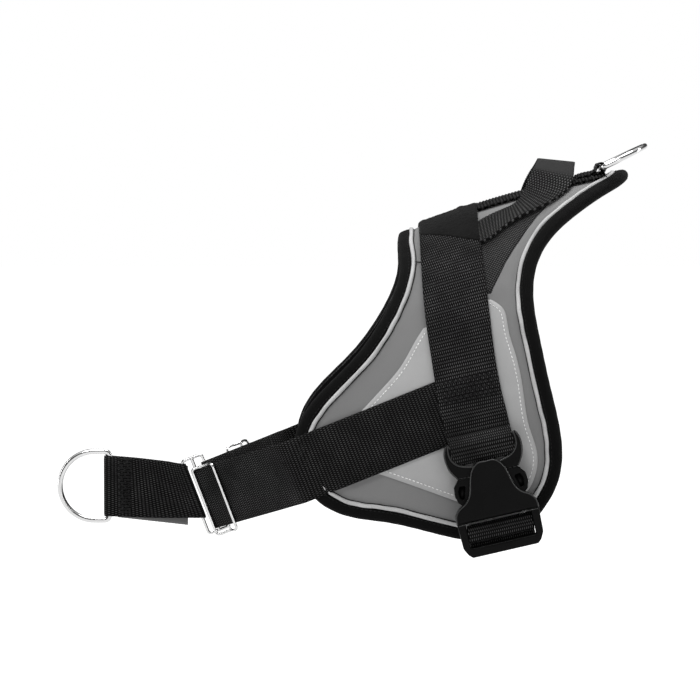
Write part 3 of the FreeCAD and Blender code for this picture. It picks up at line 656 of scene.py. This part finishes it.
# binding tape folded over the rim, puckered by its stitches
loop = np.array([(9.6, 6.0), (9.4, 7.0), (7.4, 7.2), (5.0, 7.35), (2.4, 7.2), (0.6, 6.4),
                 (-0.5, 4.9), (-0.8, 3.1), (-0.5, 1.3), (0.6, 0.0), (2.4, -0.7), (6.0, -0.8),
                 (9.2, -0.7), (9.5, 0.2), (6.0, 0.5), (3.0, 1.3), (1.8, 3.1), (3.0, 5.2)])
pucker = 0.22 * np.sin(rim_run / 2.1 + 2.0 * np.sin(rim_run / 31.0)) \
    + 0.25 * np.sin(rim_run / 11.0 + np.sin(rim_run / 47.0))
rows = []
for distance, height in loop:
    swing = pucker * (0.9 if height > 5 else 0.4) * (1 if distance < 8 else 0.3)
    rows.append(rim_line(distance + 0.3 * pucker, height + 0.45 * swing))
binding_verts = np.stack(rows, 1)
binding_uv = np.stack([np.broadcast_to(np.arange(len(loop)) * 2.2, (len(rim), len(loop))),
                       np.broadcast_to(rim_run[:, None], (len(rim), len(loop)))], -1)
new_object("edge_binding_tape", binding_verts.reshape(-1, 3),
           grid_faces(len(rim), len(loop), close_rows=True, close_cols=True),
           BINDING, binding_uv.reshape(-1, 2) * MM, body="saddle", slot="binding",
           replaces=("edge_binding",))
kink = np.sin(rim_run / 9.0 + 1.7 * np.sin(rim_run / 41.0)) \
    + 0.7 * np.sin(rim_run / 3.7 + 2.3 * np.sin(rim_run / 17.0))
bead = rim_line(PIPING_IN + 0.22 * kink, 6.3)
tube("piping_bead", bead, 1.65 + 0.1 * np.sin(rim_run / 5.3 + np.sin(rim_run / 19.0)), PIPING,
     closed=True, body="saddle", slot="piping", replaces=("reflective_piping",))
# a dark cord in the groove at the piping's inner edge: the seam there, drawn dark as painted shade
# under the piping's edge
tube("piping_seam_shade", rim_line(SEAM_IN + 0.2 * kink, 5.25), 0.45, THREAD_DARK,
     sides=6, closed=True, body="saddle", slot="binding")
stitches("binding_stitches", [(rim_line(7.9, 7.15), rim_normal)], THREAD_DARK, 2.4, 1.0, 0.32,
         body="saddle", slot="binding")

# light panel on each flank, with its dashed stitch line
PATCH_FRONT = [(-27, -84), (-33, -93), (-44, -112), (-60, -131), (-74, -146), (-84, -160),
               (-84, -174), (-76, -190), (-60, -197)]
PATCH_REST = [(-60, -197), (-42, -203), (-8, -215), (30, -222), (50, -213), (60, -195),
              (61, -180), (55, -160), (50, -130), (44, -102), (39, -84), (35, -68), (25, -61)]
patch_line = np.vstack([spline(PATCH_FRONT, 1.0), spline(PATCH_REST, 1.0)[1:]])
patch_map = to_map(patch_line[:, 0], patch_line[:, 1])


def shrink(outline, distance):
    """Closed map outline moved inwards."""
    p = resample(outline, 1.5, closed=True)
    run = unit(np.roll(p, -1, 0) - np.roll(p, 1, 0))
    for _ in range(4):
        run = unit(np.roll(run, 1, 0) + 2 * run + np.roll(run, -1, 0))
    into = np.stack([-run[:, 1], run[:, 0]], 1)
    if (p.mean(0) - p[0]) @ into[0] < 0:
        into = -into
    return p + into * distance


for side, sign in SIDES:
    panel(side + "_light_panel", patch_map, PANEL_LOW, 7.0, PATCH, puff=0.25, far=sign < 0,
          body="saddle", slot="reflective_patch", replaces=(side + "_flank_patch",))
    line = shrink(patch_map, 3.3) * [1, sign]
    line = np.vstack([line, line[:1]])
    stitches(side + "_panel_stitches", [on_map(line, 7.2)], THREAD_LIGHT,
             2.1, 1.1, 0.34, body="saddle", slot="reflective_patch")

# one panel of coarse weave behind the girth strap on each flank
BACK_PANEL = [(12, -12), (2, -60), (26, -57), (38, -33), (45, -22), (58, -4), (73, 12), (84, 20.5),
              (88, 23), (79, 20.5), (66, 15.5), (55, 10.5), (44, 5), (32, -2), (20, -8)]
panel_line = np.vstack([np.array(BACK_PANEL[:2], float), spline(BACK_PANEL[2:9], 1.0),
                        spline(BACK_PANEL[9:], 1.0)])
panel_map = to_map(panel_line[:, 0], panel_line[:, 1])
for side, sign in SIDES:
    panel(side + "_ballistic_panel", panel_map, PANEL_LOW, 6.75, BALLISTIC, puff=0.15,
          far=sign < 0, body="saddle", slot="ballistic_fabric", replaces=("back_panel",))

# seam across the shell in front of the girth strap
for side, sign in SIDES:
    seam = to_map(np.linspace(-37, -20, 12), np.linspace(-32.6, -33.8, 12)) * [1, sign]
    tube(side + "_shell_seam", on_map(seam, 6.3)[0], 0.38, THREAD_DARK, sides=6,
         body="saddle", slot="shell_fabric")

# ---------------- webbing on the saddle
GIRTH_FRONT = [(-29, 30), (-28, -1), (-25, -75), (-20, -112), (-13, -153), (-11, -161)]
GIRTH_REAR = [(18, 30), (18, 0), (20, -28), (24, -65), (28, -102), (35, -139), (38, -151)]
ACROSS = np.linspace(0, 1, 5)
WEB_HALF, BARTACK_HALF = 25.0, 22.5         # millimetres, half of the 50 mm webbing
SIDEWAYS = np.array([0, 1.0, 0])


def down_flank(points):
    """Map line of a side view curve, from the spine down."""
    line = spline(points, 1.0)
    m = to_map(line[:, 0], line[:, 1])
    m = m[m[:, 1] > 0.5]
    return np.vstack([[m[0, 0], 0], m])


front_line, rear_line = down_flank(GIRTH_FRONT), down_flank(GIRTH_REAR)


def over_spine(f):
    """How much lower the girth strap lies where nothing passes under it, near the spine."""
    return 1.6 * (1 - smooth(np.abs(f) / 50))


def girth_station(t, level=10.0):
    """Station of the girth strap at a share t of its length down the flank."""
    ends = []
    for line in (front_line, rear_line):
        f = t * line[-1, 1]
        ends.append(np.array([np.interp(f, line[:, 1], line[:, 0]), f]))
    places = np.array([lerp(ends[0], ends[1], a) for a in ACROSS])
    return on_map(places, level - over_spine(places[:, 1]))


# buckle frame: x across the web, y up it, z outwards from the flank
BUCKLE_AT = np.array([29.7, -117.0, -226.9])
LEAN = math.radians(13)
BX = np.array([math.cos(LEAN), 0, math.sin(LEAN)])
BY = np.array([-math.sin(LEAN), 0, math.cos(LEAN)])
BZ = np.array([0, -1.0, 0])
FOLD = [(-6.4, 77), (-6.0, 69), (-1.5, 62.5), (3.1, 58), (3.5, 54), (3.0, 49), (1.4, 45.4),
        (-0.6, 44.4), (-2.2, 46), (-3.2, 50), (-3.6, 55), (-3.7, 61), (-4.3, 68)]


def profile_stations(path, origin, axis_p, axis_q, across, half, flip=1):
    """Stations of a flat web whose centre follows (p, q) points in a plane."""
    p = np.asarray(path, float)
    run = np.gradient(p, axis=0)
    out = []
    for (a, b), (da, db) in zip(p, run):
        centre = origin + axis_p * a + axis_q * b
        normal = unit(axis_p * -db + axis_q * da) * flip
        points = np.array([centre + across * half * (2 * s - 1) for s in ACROSS])
        out.append((points, np.tile(normal, (5, 1))))
    return out


FLIP_Y = np.array([1, -1, 1])


def mirrored(pairs):
    """The same pairs of points or vectors on the other flank."""
    return [(first * FLIP_Y, second * FLIP_Y) for first, second in pairs]


half_girth = [girth_station(t) for t in np.linspace(0, 0.93, 26)]
half_girth += profile_stations(FOLD, BUCKLE_AT, BZ, BY, BX, WEB_HALF)
web("girth_webbing", mirrored(half_girth[:0:-1]) + half_girth, GIRTH_WEB, thick=1.7,
    body="saddle", slot="webbing", replaces=("girth_strap",))


def cross_rows(low, high, rows, level=10.95, inset=0.06):
    """Stitch rows across the girth strap, between two shares of its length."""
    runs = []
    for t in np.linspace(low, high, rows):
        points, normals = girth_station(t, level)
        dense = np.linspace(inset, 1 - inset, 30)
        runs.append((np.stack([np.interp(dense, ACROSS, points[:, i]) for i in range(3)], 1),
                     np.stack([np.interp(dense, ACROSS, normals[:, i]) for i in range(3)], 1)))
    return runs


bartack_rows = cross_rows(0.855, 0.925, 12)
for side, rows in (("near", bartack_rows), ("far", mirrored(bartack_rows))):
    stitches(side + "_girth_bartack", rows, THREAD_DARK, 2.0, 0.7, 0.55, body="saddle",
             slot="webbing")

VELCRO = [(-27.5, 30), (-27, -15.5), (-5, -16.2), (18.9, -19), (17, 30)]
velcro_line = resample(np.array(VELCRO, float), 1.0)
velcro_map = both_flanks(to_map(velcro_line[:, 0], velcro_line[:, 1]))
pile = panel("hook_loop_pile", velcro_map, 10.6, 11.3, PILE, spacing=1.3, sink=over_spine,
             body="saddle", slot="hook_loop", replaces=("hook_loop_patch",))
fuzz = RNG.normal(size=(len(pile.data.vertices), 3)) * [0.14, 0.14, 0.12]
for vertex, push in zip(pile.data.vertices, fuzz):
    x, y = vertex.co.x / MM, vertex.co.y / MM
    crest = 0.7 * smooth(1 - abs(y) / 14) * max(0, math.sin(x / 2.3) + math.sin(x / 6.1 + 1) - 0.6)
    vertex.co += Vector(push + np.array([0, 0, crest])) * MM

spine_x = np.linspace(16, 119, 28)
spine_s = np.linspace(-120, 120, 400)
SPINE_LEVEL, SPINE_HALF = 8.0, 22
spine_points = on_map(np.stack([spine_s, 0 * spine_s], 1), SPINE_LEVEL)[0]
stations = []
for s in np.interp(spine_x, spine_points[:, 0], spine_s):
    reach = [math.asin(y / ((HALF[2] + MID) * math.sqrt(1 - (s / HALF[0]) ** 2))) * ROUND
             for y in np.linspace(-SPINE_HALF, SPINE_HALF, 5)]
    stations.append(on_map([(s, f) for f in reach], SPINE_LEVEL))
web("spine_band", stations, WEBBING, body="saddle", slot="webbing", rib=0.7,
    replaces=("spine_webbing",))

# ---------------- chest straps and slide
FRONT_Z, FRONT_DROP, SLIDE_TILT = -213.4, 4.0, math.radians(21)
SLIDE_CENTRE = np.array([-202.0, 0, -220.0])
NEAR_PLACE, FAR_PLACE = 0, 1                # the slide's middle bar and its rear bar
SLIDE_UP = np.array([-math.sin(SLIDE_TILT), 0, math.cos(SLIDE_TILT)])
SLIDE_ACROSS = np.array([math.cos(SLIDE_TILT), 0, math.sin(SLIDE_TILT)])
PITCH, WRAP, NEAR_SAG = 8.8, 2.25, 3.9      # bar to bar, web to bar axis, near web down its bar
CHEST_START, CHEST_SLOPE = (9.5, -139.8), math.radians(22.1)
CHEST_ON_BODY, TAIL_LENGTH, CHEST_LEVEL = 151.0, 84.0, 8.0
SEWN_START, SEWN_END = 138, 145             # the band that sews it down, along its run
WIDTHS = (WEB_HALF, WEB_HALF / 2, 0, -WEB_HALF / 2, -WEB_HALF)
chest_dir = np.array([-math.cos(CHEST_SLOPE), 0, -math.sin(CHEST_SLOPE)])
chest_up = np.array([-math.sin(CHEST_SLOPE), 0, math.cos(CHEST_SLOPE)])


def chest_on_body(run, level=CHEST_LEVEL, widths=WIDTHS):
    """Station of the chest strap where it lies on the near flank."""
    points, normals = [], []
    for across in widths:
        at = np.array([CHEST_START[0], 0, CHEST_START[1]]) + chest_dir * run + chest_up * across
        point = on_back(at[0], at[2], level)
        out = back_normal(point, level)
        points.append(point)
        normals.append(unit(out - chest_dir * (out @ chest_dir)))
    return np.array(points), np.array(normals)


def chest_line(place):
    """Straight stretch from the slide's bar to the flank: start, run, width, normal, length."""
    sag = NEAR_SAG if place == NEAR_PLACE else 0
    bar = SLIDE_CENTRE + SLIDE_ACROSS * (PITCH * place) - SLIDE_UP * sag
    flank = chest_on_body(CHEST_ON_BODY)[0][2]
    normal = unit(np.cross(SLIDE_UP, unit(flank - bar)))
    normal = -normal if normal[1] > 0 else normal
    run = unit(flank - normal * WRAP - bar)
    up = unit(SLIDE_UP - run * (run @ SLIDE_UP))
    return bar, run, up, normal, np.linalg.norm(flank - bar)


def chest_strap(place):
    """Stations from the flank to a bar of the slide, round it and back along the tail."""
    bar, run, up, normal, length = chest_line(place)

    def across(centre, width_dir, out):
        return (np.array([centre + width_dir * w for w in WIDTHS]), np.tile(out, (5, 1)))

    on_flank = (0, 20, 40, 60, 80, 100, 120, SEWN_START, CHEST_ON_BODY)
    stations = [chest_on_body(reach) for reach in on_flank]
    for reach in (length - 7, length - 18, length * 0.5, 16, 7, 1.5):
        stations.append(across(bar + run * reach + normal * WRAP, up, normal))
    forward = np.cross(normal, SLIDE_UP)
    forward = -forward if forward[0] > 0 else forward
    for turn in np.linspace(0, math.pi, 9)[1:-1]:
        out = normal * math.cos(turn) + forward * math.sin(turn)
        stations.append(across(bar + out * WRAP, SLIDE_UP, out))
    for reach in (1.5, 7, 16, 45, 70, TAIL_LENGTH):
        stations.append(across(bar + run * reach - normal * WRAP, up, -normal))
    return stations


web("near_chest_webbing", chest_strap(NEAR_PLACE), WEBBING, body="saddle", slot="webbing",
    replaces=("near_chest_strap",))
web("far_chest_webbing", mirrored(chest_strap(FAR_PLACE)), WEBBING,
    body="saddle", slot="webbing", replaces=("far_chest_strap",))

# stitched band where the chest strap leaves the saddle
seam_rows = []
for reach in np.linspace(SEWN_START, SEWN_END, 4):
    points, normals = [], []
    for across in np.linspace(BARTACK_HALF, -BARTACK_HALF, 60):
        bend = 2.2 * math.sin(across / 11.0) + 3.5 * (across / WEB_HALF) ** 2
        p, n = chest_on_body(reach - bend, 8.85, (across,))
        points.append(p[0])
        normals.append(n[0])
    seam_rows.append((np.array(points), np.array(normals)))
for side, rows in (("near", seam_rows), ("far", mirrored(seam_rows))):
    stitches(side + "_chest_seam", rows, THREAD_DARK, 2.0, 0.7, 0.32, body="saddle",
             slot="webbing")

# ---------------- front web
FRONT_BAR = SLIDE_CENTRE - SLIDE_ACROSS * PITCH
END_Z = FRONT_Z - FRONT_DROP
RING_X = -279.5
SLIDE_X = FRONT_BAR[0] + SLIDE_UP[0] * (END_Z - FRONT_BAR[2]) / SLIDE_UP[2]
RING_R, SLIDE_R, LAYER = 3.5, 2.5, 0.95     # web's middle round each wire; layer offset


def front_station(x, y, run):
    """Station at plan place x, y; its width turns from upright to the slide's tilt."""
    way = np.clip((x - RING_X) / (SLIDE_X - RING_X), 0, 1)
    share = way ** 1.5
    up = unit(lerp(np.array([0, 0, 1.0]), SLIDE_UP, share))
    half = lerp(24.4, 22.6, share) / lerp(1, math.cos(SLIDE_TILT), share * 0.4)
    middle = np.array([x, y, FRONT_Z - FRONT_DROP * way])
    normal = unit(np.cross(up, np.array([run[0], run[1], 0])))
    return (np.array([middle + up * w / WEB_HALF * half for w in WIDTHS]),
            np.tile(normal, (5, 1)))


plan = [(RING_X + 9, LAYER)]
plan += [(RING_X + RING_R * math.cos(a), RING_R * math.sin(a))
         for a in np.radians([62, 90, 120, 150, 180, 210, 240, 270, 298])]
plan += [(RING_X + 9, -LAYER), (RING_X + 25, -LAYER), (RING_X + 45, -LAYER),
         (SLIDE_X - 8, -LAYER)]
plan += [(SLIDE_X + SLIDE_R * math.cos(a), SLIDE_R * math.sin(a))
         for a in np.radians([-100, -60, -20, 20, 60, 100])]
plan += [(SLIDE_X - 8, LAYER), (RING_X + 45, LAYER), (RING_X + 25, LAYER), (RING_X + 10, LAYER)]
plan = np.array(plan)
plan_run = unit(np.gradient(plan, axis=0))
web("front_lead_web", [front_station(x, y, r) for (x, y), r in zip(plan, plan_run)], WEBBING,
    thick=1.6, body="front_lead", slot="webbing", replaces=("front_web",))
runs = []
for x in np.linspace(-272.5, -262.0, 13):
    z = np.linspace(FRONT_Z - BARTACK_HALF, FRONT_Z + BARTACK_HALF, 50)
    for sign in (-1, 1):
        line = np.stack([x + 0.5 * np.sin(z / 1.9 + x), 0 * z + sign * (LAYER + 0.85), z], 1)
        runs.append((line, np.tile([0, sign, 0], (50, 1))))
stitches("front_lead_bartack", runs, THREAD_DARK, 1.9, 0.5, 0.5, body="front_lead",
         slot="webbing")
STRIP_START, STRIP_END = -273, -216         # the strip hangs lower towards the slide
strip = []
for x in np.linspace(STRIP_START, STRIP_END, 13):
    low = FRONT_Z - 25.6 - (x - STRIP_START) / 9
    strip.append((np.array([[x, LAYER + 1.3, z] for z in np.linspace(low, FRONT_Z + 16, 5)]),
                  np.tile([0, 1.0, 0], (5, 1))))
web("front_lead_lining", strip, TAPE, thick=0.7, rib=0.04, body="front_lead",
    slot="lining_tape", replaces=("front_web_lining",))

# ---------------- rear ring loop and handle
RING_AT = np.array([116.5, 0, 43.3])
tongue = math.radians(10)
TX = np.array([math.cos(tongue), 0, math.sin(tongue)])
TZ = np.array([-math.sin(tongue), 0, math.cos(tongue)])
ring_path = [(-21, -4.6), (-17, -3.9), (-9, -3.6), (-2, -3.5)]
ring_path += [(RING_R * math.cos(a), RING_R * math.sin(a))
              for a in np.radians([-70, -40, -10, 20, 50, 80, 110, 140, 170])]
ring_path += [(-4.6, -0.9), (-8, -1.75), (-17, -2.2), (-21, -2.9)]
RING_WEB_HALF = 17.0
stations = profile_stations(ring_path, RING_AT, TX, TZ, SIDEWAYS, RING_WEB_HALF)
for (along, _), (points, normals) in zip(ring_path, stations):
    bend = smooth((-along - 3) / 8)             # the web takes the round of the back
    points[:, 2] -= bend * points[:, 1] ** 2 / 116
    normals[:, 1] += bend * np.sign(normals[:, 2]) * points[:, 1] / 58
web("rear_ring_web", stations, WEBBING, thick=1.5, rib=0.5, body="saddle", slot="webbing",
    replaces=("rear_ring_loop",))

HANDLE = [((13, -43, -2.2), (15, -61, -17)), ((22.6, -41, 3.5), (25.5, -60.5, -12.5)),
          ((34, -39, 8.8), (34.5, -57, -5.5)), ((44, -36, 13.2), (48, -52, 3.5)),
          ((52, -32, 20.5), (65, -47, 11.5)), ((55.5, -27, 29), (81, -38, 20)),
          ((60, -19, 39), (92, -26, 31)), ((64.5, -9, 47), (95, -10.5, 43.5)),
          ((66, 0, 50.3), (96, 0, 47.3))]
near_pairs = [(np.array(f, float), np.array(r, float)) for f, r in HANDLE]
pairs = near_pairs + mirrored(near_pairs[-2::-1])
stations = []
for i, (f, r) in enumerate(pairs):
    before, after = pairs[max(i - 1, 0)], pairs[min(i + 1, len(pairs) - 1)]
    normal = unit(np.cross(r - f, (after[0] + after[1]) - (before[0] + before[1])))
    normal = -normal if normal[2] < 0 else normal
    stations.append((np.array([lerp(f, r, a) for a in ACROSS]), np.tile(normal, (5, 1))))
handle_top = refine(stations, 0.45)[2][-1] / 2
# on the handle's top fold the painted dots give way to a faint even painted sheen
HANDLE_WEB = webbing_material("handle_webbing", grey(0.006), grey(0.125),
                              smooth_at=float(handle_top * MM))
handle = web("handle_webbing", stations, HANDLE_WEB, thick=2.2, rib=0.5, cols=25, slot="webbing",
             replaces=("grab_handle",), plain=lambda u: smooth((np.abs(u - handle_top) - 17) / 7))
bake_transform(handle)

# ---------------- belly strap and buckles
BELLY_NEAR = [(-111.5, -11.5), (-111.6, -6.5), (-113.4, -4.6), (-118.4, -4.5), (-119.4, -5.6),
              (-119.4, -14.4), (-118.4, -15.6), (-113.4, -16.2), (-110.8, -18.6),
              (-109.4, -24), (-103, -27.4), (-60, -30), (0, -31)]
BELLY_HALF = 25.6
belly_path = BELLY_NEAR + [(-y, v) for y, v in reversed(BELLY_NEAR[:-1])]
belly = profile_stations(belly_path, BUCKLE_AT * [1, 0, 1], SIDEWAYS, BY, BX, BELLY_HALF)
web("belly_webbing", belly, WEBBING, thick=1.5, rib=0.22, body="belly", slot="webbing",
    replaces=("belly_strap",))


BUCKLE_VOXEL = 0.55 * MM


def moulded(name, node, rounds):
    """The node's shape with its edges rounded, as it comes from a mould."""
    mesh = NODES[node].data.copy()
    mesh.name = name
    obj = bpy.data.objects.new(name, mesh)
    bpy.context.scene.collection.objects.link(obj)
    remesh = obj.modifiers.new("remesh", "REMESH")
    remesh.mode, remesh.voxel_size = "VOXEL", BUCKLE_VOXEL
    relax = obj.modifiers.new("relax", "SMOOTH")
    relax.iterations, relax.factor = rounds, 0.5
    done = bpy.data.meshes.new_from_object(
        obj.evaluated_get(bpy.context.evaluated_depsgraph_get()))
    bpy.data.objects.remove(obj)
    done.polygons.foreach_set("use_smooth", [True] * len(done.polygons))
    done.materials.clear()
    done.materials.append(PLASTIC)
    return done


for piece, body, rounds in (("female_buckle", "belly", 14), ("male_buckle", "saddle", 4),
                            ("rear_prong", "rear_latch", 4), ("front_prong", "front_latch", 4)):
    near_mesh = moulded(piece, "near_" + piece, rounds)
    far_mesh = near_mesh.copy()
    far_mesh.transform(Matrix.Scale(-1, 4, (0, 1, 0)))
    far_mesh.flip_normals()
    for side, mesh in (("near", near_mesh), ("far", far_mesh)):
        obj = bpy.data.objects.new("%s_%s_moulded" % (side, piece), mesh)
        bpy.context.scene.collection.objects.link(obj)
        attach(obj, body if body in ("belly", "saddle") else "%s_%s" % (side, body))
        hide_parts("%s_%s" % (side, piece))

# raised rims of the yoke, in the lighter plastic that paints a highlight on them, and the webs
# that close the finger loops
YOKE_RIM = [(24.2, 34.6), (28.3, 41.3), (30.2, 50), (29.8, 56), (27.8, 60.6)]
CRESCENT = [(26.1, 61.5), (26.0, 50.3), (23.8, 46.6), (20.2, 43.7), (15, 41.9), (10, 40.6)]
LOOP_WEB = [(18.5, 28), (24, 28.6), (26.3, 24), (25.8, 18), (22.3, 16)]
SHIELD = [(33, 0), (32.3, 6), (29, 10.5), (24, 13.5), (19.5, 18), (15.5, 30), (11, 40.5),
          (7, 43.6), (0, 43.9)]


def on_buckle(points, flank, z):
    """Points of the buckle's frame at height z, on the flank that the sign names."""
    return [(BUCKLE_AT + BX * x + BY * y + BZ * z) * [1, flank, 1] for x, y in points]


count = len(LOOP_WEB)
LOOP_FACES = [list(range(count)), list(range(count, 2 * count))]
LOOP_FACES += [[k, (k + 1) % count, count + (k + 1) % count, count + k] for k in range(count)]
for side, flank in SIDES:
    for place, way in (("rear", [1, 1]), ("front", [-1, 1])):
        for name, path in (("rim", YOKE_RIM), ("crescent", CRESCENT)):
            tube("%s_%s_yoke_%s" % (side, place, name),
                 on_buckle(spline(path, 1.0) * way, flank, 2.8), 0.75, PLASTIC_HIGHLIT_EDGE, sides=8,
                 body="saddle", slot="buckle_plastic")
        corners = np.array(LOOP_WEB) * way
        new_object("%s_%s_loop_web" % (side, place),
                   on_buckle(corners, flank, -1.6) + on_buckle(corners, flank, 0.2), LOOP_FACES,
                   PLASTIC, body="%s_%s_latch" % (side, place), slot="buckle_plastic")

# bead along the edge of the female half's raised shield, and the seam across its foot, both in the
# lighter plastic that paints a highlight on them
half_bead = spline(SHIELD, 1.0) * [0.975, 0.985]
shield_bead = np.vstack([half_bead, half_bead[-2::-1] * [-1, 1]])
shield_foot = [(x, -1.5) for x in np.linspace(-31.5, 31.5, 20)]
for side, flank in SIDES:
    tube(side + "_shield_bead", on_buckle(shield_bead, flank, 6.15), 0.55, PLASTIC_HIGHLIT_EDGE,
         sides=8, body="belly", slot="buckle_plastic")
    tube(side + "_shield_seam", on_buckle(shield_foot, flank, 6.2), 0.4, PLASTIC_HIGHLIT_EDGE,
         sides=6, body="belly", slot="buckle_plastic")

# ---------------- metal
for name in ("front_leash_ring", "rear_leash_ring", "front_slide", "near_triglide",
             "far_triglide"):
    for material_slot in NODES[name].material_slots:
        material_slot.material = CHROME

# ---------------- floor, light, camera
FLOOR_Z, FLOOR_HALF = -312.0, 14000.0       # low enough for the belly strap when it is off
PAPER = grained_material("floor_paper", grey(0.24), grey(0.25), 0.95, 300, 0.05, cloth=False,
                         specular=0.0)
glow = PAPER.node_tree.nodes["Principled BSDF"]
glow.inputs["Emission Color"].default_value = (1, 1, 1, 1)
glow.inputs["Emission Strength"].default_value = 0.93
floor_corners = [(x * FLOOR_HALF, y * FLOOR_HALF, FLOOR_Z) for y in (-1, 1) for x in (-1, 1)]
new_object("floor", floor_corners, grid_faces(2, 2), PAPER)

world = bpy.data.worlds.new("studio")
bpy.context.scene.world = world
world.use_nodes = True
sky = world.node_tree
direction = sky.nodes.new("ShaderNodeTexCoord")
parts = sky.nodes.new("ShaderNodeSeparateXYZ")
sky.links.new(direction.outputs["Generated"], parts.inputs[0])
height = sky.nodes.new("ShaderNodeValToRGB")
ramp = height.color_ramp
ramp.elements[0].position, ramp.elements[0].color = 0.07, (1, 1, 1, 1)
ramp.elements[1].position, ramp.elements[1].color = 0.85, (1, 1, 1, 1)
for position, value in ((0.14, 0.05), (0.55, 0.10)):
    ramp.elements.new(position).color = (value, value, value, 1)
sky.links.new(parts.outputs["Z"], height.inputs["Fac"])
sky.links.new(height.outputs["Color"], sky.nodes["Background"].inputs["Color"])
sky.nodes["Background"].inputs["Strength"].default_value = 1.0


def softbox(name, place, aim, width, height, power):
    """Area light at a place, turned towards its aim."""
    light = bpy.data.lights.new(name, "AREA")
    light.shape, light.size, light.size_y, light.energy = "RECTANGLE", width, height, power
    obj = bpy.data.objects.new(name, light)
    bpy.context.scene.collection.objects.link(obj)
    obj.location = place
    obj.rotation_euler = (Vector(aim) - Vector(place)).to_track_quat("-Z", "Y").to_euler()


# name, place, aim, width and height in metres, power in watts
softbox("key", (-0.9, -1.6, 2.3), (-0.05, 0, -0.1), 0.9, 0.9, 40)
softbox("top", (0.1, 0.1, 1.9), (-0.05, 0, 0), 1.4, 0.8, 38)
softbox("rim", (1.6, 0.1, 0.5), (0, 0, -0.1), 0.2, 1.2, 10)
softbox("left", (-1.6, 0.0, 0.3), (0, 0, -0.1), 0.2, 1.2, 7)
softbox("low", (0.6, -2.2, 0.3), (0, 0, -0.15), 0.3, 1.0, 3)

camera_data = bpy.data.cameras.new("camera")
camera_data.lens, camera_data.sensor_width = 191.2, 36.0
camera_data.clip_end = 60
camera = bpy.data.objects.new("camera", camera_data)
bpy.context.scene.collection.objects.link(camera)
ELEVATION, DISTANCE = math.radians(2.4), 3.0
LOOK_AT = Vector((-0.085, 0, -0.1036))
camera.location = LOOK_AT + Vector((0, -math.cos(ELEVATION), math.sin(ELEVATION))) * DISTANCE
camera.rotation_euler = (math.pi / 2 - ELEVATION, 0, 0)
bpy.context.scene.camera = camera
bpy.context.scene.view_settings.view_transform = "Standard"
